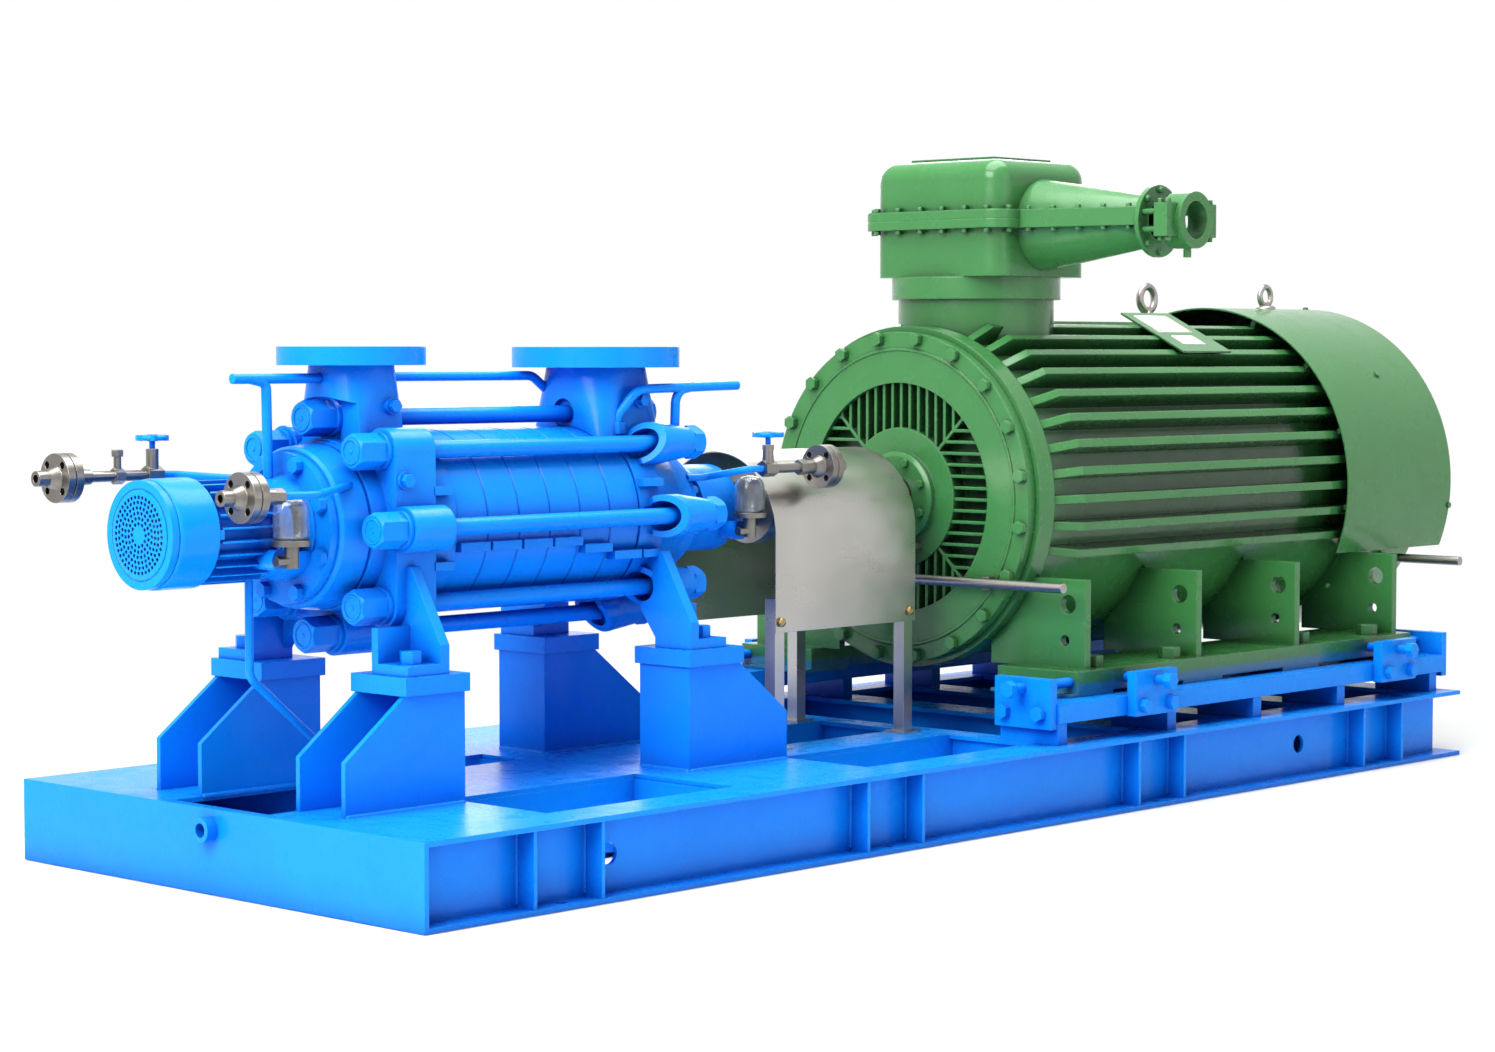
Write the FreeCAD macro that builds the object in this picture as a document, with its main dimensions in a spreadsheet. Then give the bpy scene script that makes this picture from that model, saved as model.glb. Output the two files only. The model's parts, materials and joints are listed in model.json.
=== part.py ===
import FreeCAD, Part
import math
import os
import re
import types

import Sketcher

# Multistage ring-section pump on a welded base, driven by a finned motor.
# Millimetres. +X runs from the pump to the motor, +Y away from the side with the oilers, +Z up.
# The origin is the centre of the anchor-bolt rectangle, on the underside of the base.

# Driving sizes: name, amount, what it is
SIZES = [
    ("base_length", 4240, "base frame, end to end"),
    ("base_width", 1500, "base frame, across the beam flanges"),
    ("base_height", 200, "base frame, depth of its beams"),
    ("flange_width", 130, "beam flange, width"),
    ("flange_thickness", 12, "beam flange and deck plate, thickness"),
    ("web_thickness", 10, "beam web and welded web plates, thickness"),
    ("end_plate", 12, "plate that closes the pump end of the base"),
    ("anchor_pitch", 1125, "anchor holes, spacing along the base"),
    ("anchor_edge", 33, "anchor hole centre to the flange edge"),
    ("anchor_radius", 14, "anchor hole radius"),
    ("stiffener_pair", 210, "spacing of the two stiffeners beside an anchor"),
    ("sling_hole_radius", 26, "lifting hole in the beam web, radius"),
    ("sling_hole_pump", -1512, "lifting hole at the pump end, along the base"),
    ("sling_hole_motor", 1314, "lifting hole at the motor end, along the base"),
    ("shaft_height", 838, "shaft line above the floor"),
    ("casing_start", -1796, "outer face of the discharge casing"),
    ("discharge_length", 237, "discharge casing, along the shaft"),
    ("suction_length", 227, "suction casing, along the shaft"),
    ("stage_count", 6, "number of ring sections"),
    ("stage_pitch", 102, "one ring section, along the shaft"),
    ("stage_radius", 224, "ring section, outside radius"),
    ("stage_wall", 23, "ring section wall"),
    ("casing_radius", 228, "end casings, outside radius"),
    ("cavity_radius", 190, "end casings, inside radius"),
    ("casing_end_wall", 24, "end casings, end wall"),
    ("rod_circle", 256, "tie rods, circle radius"),
    ("rod_count", 8, "number of tie rods"),
    ("rod_radius", 21, "tie rod radius"),
    ("rod_clearance", 1.5, "tie rod hole, radial clearance"),
    ("boss_radius", 54, "tie rod boss radius"),
    ("rod_nut_flats", 75, "tie rod nut, across the flats"),
    ("rod_nut_height", 78, "closed tie rod nut height at the pump end"),
    ("rod_washer", 12, "tie rod washer thickness"),
    ("drive_nut_height", 38, "tie rod nut height at the drive end"),
    ("rod_end", 3, "tie rod beyond its drive-end nut"),
    ("boss_setback", 41, "tie rod seats back from the discharge casing's end face"),
    ("boss_length", 122, "tie rod bosses of the discharge casing, along the shaft"),
    ("shoulder_radius", 208, "discharge casing in front of its tie rod seats, radius"),
    ("ear_start", 34, "tie rod ears of the suction casing, in from its joint"),
    ("ear_mouth", 63, "wide mouth of a tie rod ear, along the shaft"),
    ("ear_setback", 30, "tie rod ears end before the suction casing's end"),
    ("ear_bore", 38, "open mouth of a tie rod ear, radius"),
    ("ear_tip", 40, "tie rod ear under its nut, radius"),
    ("casing_taper", 145, "tapered end of the suction casing, along the shaft"),
    ("casing_tip", 165, "tapered end of the suction casing, small radius"),
    ("nozzle_height", 425, "nozzle flange faces above the shaft line"),
    ("discharge_nozzle_x", -1692, "discharge nozzle, along the base"),
    ("suction_nozzle_x", -883, "suction nozzle, along the base"),
    ("discharge_flange_radius", 177.5, "discharge flange radius"),
    ("discharge_flange_depth", 44, "discharge flange thickness"),
    ("discharge_bore", 75, "discharge bore radius"),
    ("discharge_bolt_circle", 290, "discharge flange bolt circle diameter"),
    ("discharge_bolt_radius", 16.5, "discharge flange bolt hole radius"),
    ("discharge_neck", 99, "discharge neck radius under the flange"),
    ("suction_flange_radius", 215, "suction flange radius"),
    ("suction_flange_depth", 52, "suction flange thickness"),
    ("suction_bore", 100, "suction bore radius"),
    ("suction_bolt_circle", 360, "suction flange bolt circle diameter"),
    ("suction_bolt_radius", 18, "suction flange bolt hole radius"),
    ("suction_neck", 122, "suction neck radius under the flange"),
    ("neck_base", 190, "foot of the nozzle necks above the shaft line"),
    ("neck_corner", 38, "corner radius at the foot of the nozzle necks"),
    ("nozzle_bolts", 12, "bolt holes in each nozzle flange"),
    ("nozzle_bore_depth", 110, "round bore under each nozzle face"),
    ("passage_taper", 6, "nozzle passage, radius lost below the round bore"),
    ("foot_spread", 265, "pump feet, from the shaft line"),
    ("pad_length", 127, "pump foot pad, along the shaft"),
    ("pad_width", 127, "pump foot pad, across"),
    ("pad_depth", 25, "pump foot pad thickness"),
    ("pad_out", 24, "pump foot pads, outwards of the pedestal middle"),
    ("pad_back", 20, "pump foot pads, towards the pump end of the pedestal middle"),
    ("leg_plate", 28, "cross plate of a pump foot, thickness"),
    ("leg_rise", 220, "cross plate of a pump foot, height over its pad"),
    ("leg_edge", 43, "cross plate of a pump foot, upright outer edge"),
    ("leg_top", 250, "cross plate of a pump foot, top corner from the shaft line"),
    ("leg_web", 22, "web along a pump foot, thickness"),
    ("leg_web_height", 82, "web along a pump foot, height over its pad"),
    ("cap_length", 196, "pedestal cap, along the shaft"),
    ("cap_width", 197, "pedestal cap, across"),
    ("cap_depth", 43, "pedestal cap thickness"),
    ("cap_overhang", 8, "pedestal cap past the closing plate"),
    ("pedestal_width", 176, "pedestal, across its side plates"),
    ("pedestal_length", 360, "pedestal side plate at the deck"),
    ("pedestal_top", 183, "pedestal side plate under the cap"),
    ("pedestal_rise", 262, "pedestal, deck to cap"),
    ("pedestal_edge", 125, "pedestal side plate, upright edge"),
    ("pedestal_plate", 14, "pedestal plate thickness"),
    ("nde_foot_inset", 91, "pump-end pedestal back from the first joint"),
    ("de_foot_inset", 46, "drive-end pedestal in from the last joint"),
    ("shaft_radius", 36, "pump shaft under the impellers"),
    ("journal_radius", 30, "pump shaft in its bearings"),
    ("running_gap", 0.05, "bearing bush, radial running clearance"),
    ("impeller_radius", 160, "impeller radius"),
    ("diffuser_inner", 170, "diffuser ring, inside radius"),
    ("part_gap", 0.3, "gap where pieces of two bodies meet"),
    ("drum_radius", 84, "balance drum radius"),
    ("cover_radius", 198, "end cover radius"),
    ("nde_cover_depth", 85, "pump-end cover thickness"),
    ("de_cover_depth", 34, "drive-end cover thickness"),
    ("bracket_flange", 178, "bearing bracket flange radius"),
    ("bracket_flange_depth", 22, "bearing bracket flange thickness"),
    ("bracket_bolt_circle", 160, "bearing bracket bolts, circle radius"),
    ("drive_flange", 152, "drive-end bracket flange radius"),
    ("drive_bolt_circle", 139, "drive-end bracket bolts, circle radius"),
    ("bracket_radius", 122, "bearing bracket lantern radius"),
    ("bracket_wall", 16, "bearing bracket lantern wall"),
    ("nde_bracket_length", 110, "pump-end bracket, along the shaft"),
    ("housing_length", 189, "finned bearing housing, along the shaft"),
    ("housing_radius", 99, "finned bearing housing, root radius"),
    ("fin_radius", 121, "finned bearing housing, fin tips"),
    ("housing_fins", 24, "fins around the bearing housing"),
    ("cowl_radius", 127, "cooling fan cowl radius"),
    ("cowl_length", 132, "cooling fan cowl, along the shaft"),
    ("cowl_sheet", 3, "cooling fan cowl wall"),
    ("cowl_corner", 38, "cooling fan cowl corner radius"),
    ("cowl_lug", 28, "cowl lugs on the bearing housing, along the shaft"),
    ("lug_width", 22, "cowl lug width"),
    ("de_bracket_length", 110, "drive-end bracket lantern, along the shaft"),
    ("de_housing_length", 125, "drive-end bearing body, along the shaft"),
    ("de_housing_radius", 114, "drive-end bearing body radius"),
    ("guard_start", -439, "coupling guard, pump side"),
    ("guard_length", 566, "coupling guard, along the shaft"),
    ("guard_radius", 220, "coupling guard, half width and top radius"),
    ("guard_drop", 255, "coupling guard wall below its round top"),
    ("guard_sheet", 3, "coupling guard sheet"),
    ("guard_leg", 36, "coupling guard leg, square side"),
    ("guard_leg_inset", 18, "coupling guard leg in from the guard's end"),
    ("motor_start", 310, "motor face, along the base"),
    ("motor_length", 1660, "motor, face to rear end shield"),
    ("motor_flange_radius", 486, "motor end flange radius"),
    ("motor_flange_depth", 98, "motor face to the back of its flange"),
    ("motor_radius", 466, "motor frame, radius under the fins"),
    ("motor_wall", 26, "motor frame wall"),
    ("motor_fin_radius", 522, "motor frame, fin tips"),
    ("motor_fin_width", 24, "motor frame fin width"),
    ("motor_fins", 11, "motor fins on each side"),
    ("motor_bolts", 20, "bolts around the motor face"),
    ("motor_bolt_circle", 453, "motor face bolts, circle radius"),
    ("shield_depth", 34, "motor end shield thickness"),
    ("grille_outer", 325, "end shield grille, outside radius"),
    ("grille_inner", 198, "end shield grille, inside radius"),
    ("grille_pitch", 32, "end shield grille, rib spacing"),
    ("grille_rib", 9, "end shield grille, rib width"),
    ("bearing_cap_radius", 130, "motor bearing cap radius"),
    ("motor_shaft_radius", 60, "motor shaft extension radius"),
    ("hood_radius", 552, "rear hood radius"),
    ("hood_start", 1786, "rear hood front edge, along the base"),
    ("hood_end", 2404, "rear hood back edge, along the base"),
    ("hood_sheet", 5, "rear hood sheet"),
    ("foot_reach", 630, "motor foot edge from the shaft line"),
    ("foot_bottom", 320, "motor foot underside above the floor"),
    ("foot_depth", 60, "motor foot plate thickness"),
    ("rib_height", 627, "motor foot ribs, top above the floor"),
    ("rail_top", 310, "motor rail top above the floor"),
    ("rail_depth", 52, "motor rail thickness"),
    ("rail_edge", 705, "motor rail edge from the shaft line"),
    ("rail_width", 205, "motor rail width"),
    ("rail_start", 150, "motor rail, pump end"),
    ("rail_length", 1945, "motor rail length"),
    ("neck_radius", 226, "terminal box neck radius"),
    ("collar_radius", 245, "terminal box collar radius"),
    ("box_x", 657, "terminal box neck axis, along the base"),
    ("box_floor", 1465, "terminal box underside above the floor"),
    ("box_joint", 1626, "terminal box lid joint above the floor"),
    ("box_top", 1796, "terminal box lid top above the floor"),
    ("box_flange_depth", 26, "terminal box joint flange thickness"),
    ("box_flange_reach", 26, "terminal box joint flange past the wall"),
    ("box_wall", 14, "terminal box wall"),
    ("box_near", 253, "terminal box wall on the cable side, from the shaft line"),
    ("box_far", 220, "terminal box far wall, from the shaft line"),
    ("box_half", 212, "terminal box, half length along the shaft"),
    ("box_corner", 62, "terminal box corner radius"),
    ("cone_length", 387, "cable entry cone length"),
    ("cone_root", 131, "cable entry cone, large radius"),
    ("cone_tip", 69, "cable entry cone, small radius"),
    ("cable_bore", 52, "cable clamp bore radius"),
    ("clamp_radius", 78, "cable clamp ring radius"),
    ("clamp_depth", 66, "cable clamp ring, along the cable"),
    ("clamp_gap", 58, "cable clamp stand-off from the cone flange"),
    ("steel_flange_radius", 57.5, "small steel flange radius"),
    ("steel_flange_depth", 20, "small steel flange thickness"),
    ("steel_bolt_circle", 85, "small steel flange bolt circle diameter"),
    ("steel_bolt_radius", 9, "small steel flange bolt hole radius"),
    ("steel_bore", 10, "small steel flange bore radius"),
    ("flush_radius", 13, "flush pipe radius"),
    ("oiler_reach", 185, "oilers, from the shaft line"),
    ("nde_bottle_radius", 42, "pump-end oiler bottle radius"),
    ("nde_bottle_height", 110, "pump-end oiler bottle height"),
    ("de_bottle_radius", 40, "drive-end oiler bottle radius"),
    ("de_bottle_height", 104, "drive-end oiler bottle height"),
    ("flush_reach", 250, "near flushing pipes, from the shaft line"),
    ("wheel_radius", 40, "valve handwheel radius"),
    ("stem_radius", 7, "valve stem radius"),
]

# Places and sizes worked out from the driving ones: name, formula
WORKED_OUT = [
    ("deck_under", "base_height - flange_thickness"),
    ("beam_y", "base_width / 2 - flange_width / 2"),
    ("beam_inner", "base_width / 2 - flange_width"),
    ("web_face", "beam_y - web_thickness / 2"),
    ("first_joint", "casing_start + discharge_length"),
    ("last_joint", "first_joint + stage_count * stage_pitch"),
    ("casing_end", "last_joint + suction_length"),
    ("nde_pedestal", "first_joint - nde_foot_inset"),
    ("de_pedestal", "last_joint + de_foot_inset"),
    ("nde_foot", "nde_pedestal + cap_overhang - cap_length / 2 - pad_back"),
    ("de_foot", "de_pedestal - cap_overhang + cap_length / 2 - pad_back"),
    ("cap_top", "base_height + pedestal_rise + cap_depth"),
    ("pad_top", "cap_top + pad_depth"),
    ("nozzle_face", "shaft_height + nozzle_height"),
    ("nde_cover_face", "casing_start - nde_cover_depth"),
    ("nde_bracket_end", "nde_cover_face - nde_bracket_length"),
    ("housing_end", "nde_bracket_end - housing_length"),
    ("cowl_face", "housing_end - cowl_length"),
    ("de_cover_face", "casing_end + de_cover_depth"),
    ("de_lantern_end", "de_cover_face + de_bracket_length"),
    ("de_housing_end", "de_lantern_end + de_housing_length"),
    ("guard_end", "guard_start + guard_length"),
    ("guard_axis", "shaft_height - 73"),
    ("guard_bottom", "guard_axis - guard_drop"),
    ("motor_end", "motor_start + motor_length"),
    ("frame_start", "motor_start + shield_depth"),
    ("frame_end", "motor_end - shield_depth"),
    ("rail_bottom", "rail_top - rail_depth"),
    ("nde_oiler_x", "housing_end + 156"),
    ("de_oiler_x", "de_lantern_end + 73"),
]

doc = FreeCAD.newDocument("RingSectionPump")
sheet = doc.addObject("Spreadsheet::Sheet", "Sizes")
row = 0
for alias, amount, note in SIZES:
    row += 1
    sheet.set(f"A{row}", note)
    sheet.set(f"B{row}", str(amount))
    sheet.setAlias(f"B{row}", alias)
for alias, formula in WORKED_OUT:
    row += 1
    sheet.set(f"A{row}", "worked out")
    sheet.set(f"B{row}", "=" + formula)
    sheet.setAlias(f"B{row}", alias)
doc.recompute()
size = {entry[0]: float(sheet.get(entry[0])) for entry in SIZES + WORKED_OUT}

Vector = FreeCAD.Vector
Turn = FreeCAD.Rotation
UPRIGHT = Turn()
# Turns that lay a primitive's own Z along an axis
ALONG = {"x": Turn(Vector(0, 1, 0), 90), "y": Turn(Vector(1, 0, 0), -90), "z": UPRIGHT}
# Turns that lay a profile's own X along an axis
SPIN = {"x": UPRIGHT, "-x": Turn(Vector(0, 0, 1), 180), "y": Turn(Vector(0, 0, 1), 90),
        "-y": Turn(Vector(0, 0, 1), -90), "z": Turn(Vector(0, 1, 0), -90)}
# Turns that stand a flat profile in a plane; xz grows towards -Y
PLANE = {"xy": UPRIGHT, "xz": Turn(Vector(1, 0, 0), 90), "yz": Turn(Vector(1, 1, 1), 120)}
nodes = {}


def bound(text):
    """An expression with each size name pointed at its cell in the sheet."""
    return re.sub(r"[a-z][a-z0-9_]*", lambda word: "Sizes." + word[0] if word[0] in size else word[0], str(text))


def tied(item, at, turn, **properties):
    """Bind an object's properties and its place to the sheet."""
    for name, text in properties.items():
        item.setExpression(name, bound(text))
    item.Placement = FreeCAD.Placement(Vector(), turn)
    for axis, text in zip("xyz", at):
        item.setExpression("Placement.Base." + axis, bound(text))
    return item


def cylinder(radius, length, at, axis="z"):
    return tied(doc.addObject("Part::Cylinder", "Cylinder"), at, ALONG[axis], Radius=radius, Height=length)


def cone(start, end, length, at, axis="z"):
    item = doc.addObject("Part::Cone", "Cone")
    return tied(item, at, ALONG[axis], Radius1=start, Radius2=end, Height=length)


def box(length, width, height, at):
    return tied(doc.addObject("Part::Box", "Box"), at, UPRIGHT, Length=length, Width=width, Height=height)


def hexagon(flats, height, at, axis="z"):
    item = doc.addObject("Part::Prism", "Hexagon")
    item.Polygon = 6
    return tied(item, at, ALONG[axis], Circumradius=f"({flats}) / sqrt(3)", Height=height)


def ring_torus(radius, thickness, at, axis="z"):
    return tied(doc.addObject("Part::Torus", "Torus"), at, ALONG[axis], Radius1=radius, Radius2=thickness)


def fuse(*items):
    joined = doc.addObject("Part::MultiFuse", "Fuse")
    joined.Shapes = list(items)
    joined.Refine = True
    return joined


def group(*items):
    together = doc.addObject("Part::Compound", "Group")
    together.Links = list(items)
    return together


def cut(base, *tools):
    taken = doc.addObject("Part::Cut", "Cut")
    taken.Base = base
    taken.Tool = tools[0] if len(tools) == 1 else fuse(*tools)
    taken.Refine = True
    return taken


def common(first, second):
    kept = doc.addObject("Part::Common", "Common")
    kept.Base = first
    kept.Tool = second
    return kept


def shaped(shape, at=(0, 0, 0)):
    """An object whose shape is worked out here, placed afterwards."""
    item = doc.addObject("Part::Feature", "Shaped")
    item.Shape = shape
    return tied(item, at, UPRIGHT)


def outline(sketch, points):
    """Closed outline of straight lines, each corner held by two bound distances from the origin."""
    count = len(points)
    start = sketch.GeometryCount
    guess = [Vector(math.cos(math.tau * i / count), math.sin(math.tau * i / count), 0) * 100 for i in range(count)]
    for i in range(count):
        sketch.addGeometry(Part.LineSegment(guess[i], guess[(i + 1) % count]), False)
    for i in range(count):
        sketch.addConstraint(Sketcher.Constraint("Coincident", start + i, 2, start + (i + 1) % count, 1))
    for i, point in enumerate(points):
        for kind, text, now in zip(("DistanceX", "DistanceY"), point, guess[i]):
            held = sketch.addConstraint(Sketcher.Constraint(kind, -1, 1, start + i, 1, now))
            sketch.setExpression(f"Constraints[{held}]", bound(text))


def sketched(points, *holes):
    """A body with a sketch of the outline, and of any hole outlines, on its own XY plane."""
    body = doc.addObject("PartDesign::Body", "Body")
    sketch = body.newObject("Sketcher::SketchObject", "Outline")
    plane = [item for item in body.Origin.OriginFeatures if item.Role == "XY_Plane"][0]
    sketch.AttachmentSupport = (plane, "")
    sketch.MapMode = "FlatFace"
    for loop in (points, *holes):
        outline(sketch, loop)
    return body, sketch


def turned(points, at, axis="x"):
    """A turned piece: points are (distance along the axis, radius)."""
    body, sketch = sketched(points)
    revolution = body.newObject("PartDesign::Revolution", "Turned")
    revolution.Profile = sketch
    revolution.ReferenceAxis = (sketch, ["H_Axis"])
    revolution.Angle = 360
    return tied(body, at, SPIN[axis])


def ring(x, length, inner, outer):
    """A plain ring round the shaft line."""
    return turned([("0", inner), ("0", outer), (length, outer), (length, inner)], (x, "0", "shaft_height"))


def plate(points, depth, plane, at, *holes):
    """A flat piece of constant thickness."""
    body, sketch = sketched(points, *holes)
    pad = body.newObject("PartDesign::Pad", "Plate")
    pad.Profile = sketch
    pad.setExpression("Length", bound(depth))
    return tied(body, at, PLANE[plane])


def rounded(body, radius, chosen):
    """Round the edges of a body's last feature that the test picks."""
    doc.recompute()
    last = body.Tip
    fillet = body.newObject("PartDesign::Fillet", "Rounded")
    picked = [f"Edge{i}" for i, edge in enumerate(last.Shape.Edges, 1) if chosen(edge)]
    fillet.Base = (last, picked)
    fillet.setExpression("Radius", bound(radius))
    return body


def node(label, item):
    item.Label = label
    nodes[label] = item
    return item


def on_circle(circle, angle, x):
    """A place on a circle round the shaft line; 0 degrees faces -Y and 90 is the top."""
    return (x, f"-({circle}) * cos({angle})", f"shaft_height + ({circle}) * sin({angle})")


def around(count, offset=0.0):
    return [offset + 360.0 * i / count for i in range(int(count))]


def pipe(points, radius, bend):
    """A solid round pipe along straight runs joined by tangent arcs."""
    edges = []
    last = points[0]
    for before, corner, after in zip(points, points[1:], points[2:]):
        to_start = (before - corner).normalize()
        to_end = (after - corner).normalize()
        half_turn = (math.pi - to_start.getAngle(to_end)) / 2
        setback = bend * math.tan(half_turn)
        arc_start = corner + to_start * setback
        arc_end = corner + to_end * setback
        middle = (to_start + to_end).normalize()
        arc_middle = corner + middle * (bend / math.cos(half_turn) - bend)
        edges.append(Part.LineSegment(last, arc_start).toShape())
        edges.append(Part.Arc(arc_start, arc_middle, arc_end).toShape())
        last = arc_end
    edges.append(Part.LineSegment(last, points[-1]).toShape())
    start = Part.Wire(Part.makeCircle(radius, points[0], points[1] - points[0]))
    return Part.Wire(edges).makePipeShell([start], True, False)


# Base frame


def side_beam(side):
    """I-beam along one side, with stiffener pairs, anchor holes and lifting holes."""
    half = "base_length / 2"
    length = "base_length - end_plate"
    outer = f"{side} * beam_y - flange_width / 2"
    web_y = f"{side} * beam_y - web_thickness / 2"
    web_length = "base_length - end_plate - flange_width / 2 + web_thickness / 2"
    parts = [box(length, "flange_width", "flange_thickness", (f"end_plate - {half}", outer, level))
             for level in ("0", "deck_under")]
    parts.append(box(web_length, "web_thickness", "base_height - 2 * flange_thickness",
                     (f"end_plate - {half}", web_y, "flange_thickness")))
    reach = "(flange_width - web_thickness) / 2 - 4"
    stiff_y = f"{side} * (beam_y + web_thickness / 2 + ({reach}) / 2) - ({reach}) / 2"
    anchors = [f"{k} * anchor_pitch" for k in (-1.5, -0.5, 0.5, 1.5)]
    for x in anchors:
        for way in (-1, 1):
            at = (f"{x} + {way} * stiffener_pair / 2 - web_thickness / 2", stiff_y, "flange_thickness")
            parts.append(box("web_thickness", reach, "base_height - 2 * flange_thickness", at))
    holes = [cylinder("anchor_radius", "3 * flange_thickness",
                      (x, f"{side} * (base_width / 2 - anchor_edge)", "-flange_thickness")) for x in anchors]
    for x in ("sling_hole_pump", "sling_hole_motor"):
        holes.append(cylinder("sling_hole_radius", "4 * web_thickness",
                              (x, f"{web_y} - 1.5 * web_thickness", "base_height / 2"), "y"))
    return cut(fuse(*parts), *holes)


node("base_side_beams", group(side_beam(-1), side_beam(1)))

collar = cylinder("29", "30", ("-base_length / 2 - 30", "0", "base_height * 0.76"), "x")
end_piece = box("end_plate", "base_width", "base_height", ("-base_length / 2", "-base_width / 2", "0"))
drain_bore = cylinder("17", "60", ("-base_length / 2 - 40", "0", "base_height * 0.76"), "x")
node("base_end_plate", cut(fuse(end_piece, collar), drain_bore))

# Deck openings, from the pump end: each edge is measured along the base
DECK = {
    "bay_start": "first_joint - 81",
    "bay_end": "de_pedestal - 119",
    "strip_start": "de_pedestal + pedestal_length + 10",
    "strip_end": "rail_start",
    "strip_outer": "foot_spread + 60",
    "strip_inner": "foot_spread - 115",
}
WELL_START = "30 - base_length / 2"
WELL_END = "nde_pedestal - 20"
WELL_HALF = "(foot_spread - pedestal_width / 2)"


def deck(x0, x1, y0, y1):
    return box(f"({x1}) - ({x0})", f"({y1}) - ({y0})", "flange_thickness", (x0, y0, "deck_under"))


node("base_deck", group(
    deck("end_plate - base_length / 2", DECK["bay_start"], "-beam_inner", f"-{WELL_HALF}"),
    deck("end_plate - base_length / 2", DECK["bay_start"], WELL_HALF, "beam_inner"),
    deck("end_plate - base_length / 2", WELL_START, f"-{WELL_HALF}", WELL_HALF),
    deck(WELL_END, DECK["bay_start"], f"-{WELL_HALF}", WELL_HALF),
    deck(DECK["bay_start"], DECK["bay_end"], "-foot_spread - 15", "foot_spread / 2"),
    deck(DECK["bay_start"], DECK["bay_end"], "foot_spread + 25", "foot_spread + 85"),
    deck(DECK["bay_end"], DECK["strip_start"], "-beam_inner", "beam_inner"),
    deck(DECK["strip_start"], DECK["strip_end"], f"-({DECK['strip_outer']})", f"-({DECK['strip_inner']})"),
    deck(DECK["strip_start"], DECK["strip_end"], DECK["strip_inner"], DECK["strip_outer"]),
    deck(DECK["strip_end"], f"({DECK['strip_end']}) + 80", "-beam_inner", "beam_inner"),
))


def cross_web(x):
    """Web plate across the frame between the side beams."""
    return box("web_thickness", "2 * web_face", "base_height - 2 * flange_thickness",
               (f"({x}) - web_thickness / 2", "-web_face", "flange_thickness"))


def cross_beam(x, flange):
    """I-beam across the frame."""
    flat = [box(flange, "2 * beam_inner", "flange_thickness", (f"({x}) - ({flange}) / 2", "-beam_inner", level))
            for level in ("0", "deck_under")]
    return fuse(cross_web(x), *flat)


def long_web(x0, x1, y):
    """Web plate along the frame under a deck strip's edge."""
    return box(f"({x1}) - ({x0}) - web_thickness", "web_thickness", "base_height - 2 * flange_thickness",
               (f"({x0}) + web_thickness / 2", f"({y}) - web_thickness / 2", "flange_thickness"))


STOOLS = ["rail_start + 20", "rail_start + 517", "rail_start + 935", "rail_start + 1373", "rail_start + 1891"]
end_flanges = [box("flange_width", "2 * beam_inner", "flange_thickness",
                   ("base_length / 2 - flange_width", "-beam_inner", level)) for level in ("0", "deck_under")]
end_beam = fuse(cross_web("base_length / 2 - flange_width / 2"), *end_flanges)
node("base_cross_members", group(
    *[cross_web(x) for x in (DECK["bay_start"], DECK["bay_end"], DECK["strip_start"], f"({DECK['strip_end']}) + 20")],
    *[cross_beam(x, "flange_width") for x in STOOLS[1:4]],
    end_beam,
    *[long_web(DECK["bay_start"], DECK["bay_end"], y) for y in ("-foot_spread - 10", "foot_spread / 2 - 5")],
    *[long_web(DECK["strip_start"], f"({DECK['strip_end']}) + 20", f"{side} * (foot_spread + {shift})")
      for side in (-1, 1) for shift in (-110, 55)],
))


def pedestal(x, way, side):
    """Two side plates and a closing plate under a cap; way is the side it opens to."""
    slope = [("0", "0"), (f"{way} * pedestal_length", "0"), (f"{way} * pedestal_length", "pedestal_edge"),
             (f"{way} * pedestal_top", "pedestal_rise"), ("0", "pedestal_rise")]
    cheeks = [plate(slope, "pedestal_plate", "xz", (x, f"{side} * foot_spread + {shift}", "base_height"))
              for shift in ("pedestal_width / 2", "pedestal_plate - pedestal_width / 2")]
    closing = box("pedestal_plate", "pedestal_width - 2 * pedestal_plate", "pedestal_rise",
                  (f"{x} - pedestal_plate * {0 if way > 0 else 1}",
                   f"{side} * foot_spread + pedestal_plate - pedestal_width / 2", "base_height"))
    cap = box("cap_length", "cap_width", "cap_depth",
              (f"{x} + {way} * (cap_length / 2 - cap_overhang) - cap_length / 2",
               f"{side} * foot_spread - cap_width / 2", "base_height + pedestal_rise"))
    return fuse(*cheeks, closing, cap)


node("pump_pedestals", group(*[pedestal(x, way, side) for x, way in (("nde_pedestal", -1), ("de_pedestal", 1))
                               for side in (-1, 1)]))


def rail(side):
    """Flat rail under the motor feet, on short stools."""
    inner = f"{side} * rail_edge" if side < 0 else "rail_edge - rail_width"
    bar = box("rail_length", "rail_width", "rail_depth", ("rail_start", inner, "rail_bottom"))
    stools = [box("40", "rail_width - 10", "rail_bottom - base_height",
                  (f"{x} - 20", f"{inner} + 5", "base_height")) for x in STOOLS]
    return fuse(bar, *stools)


node("motor_rails", group(rail(-1), rail(1)))


# Pump casings


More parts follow.
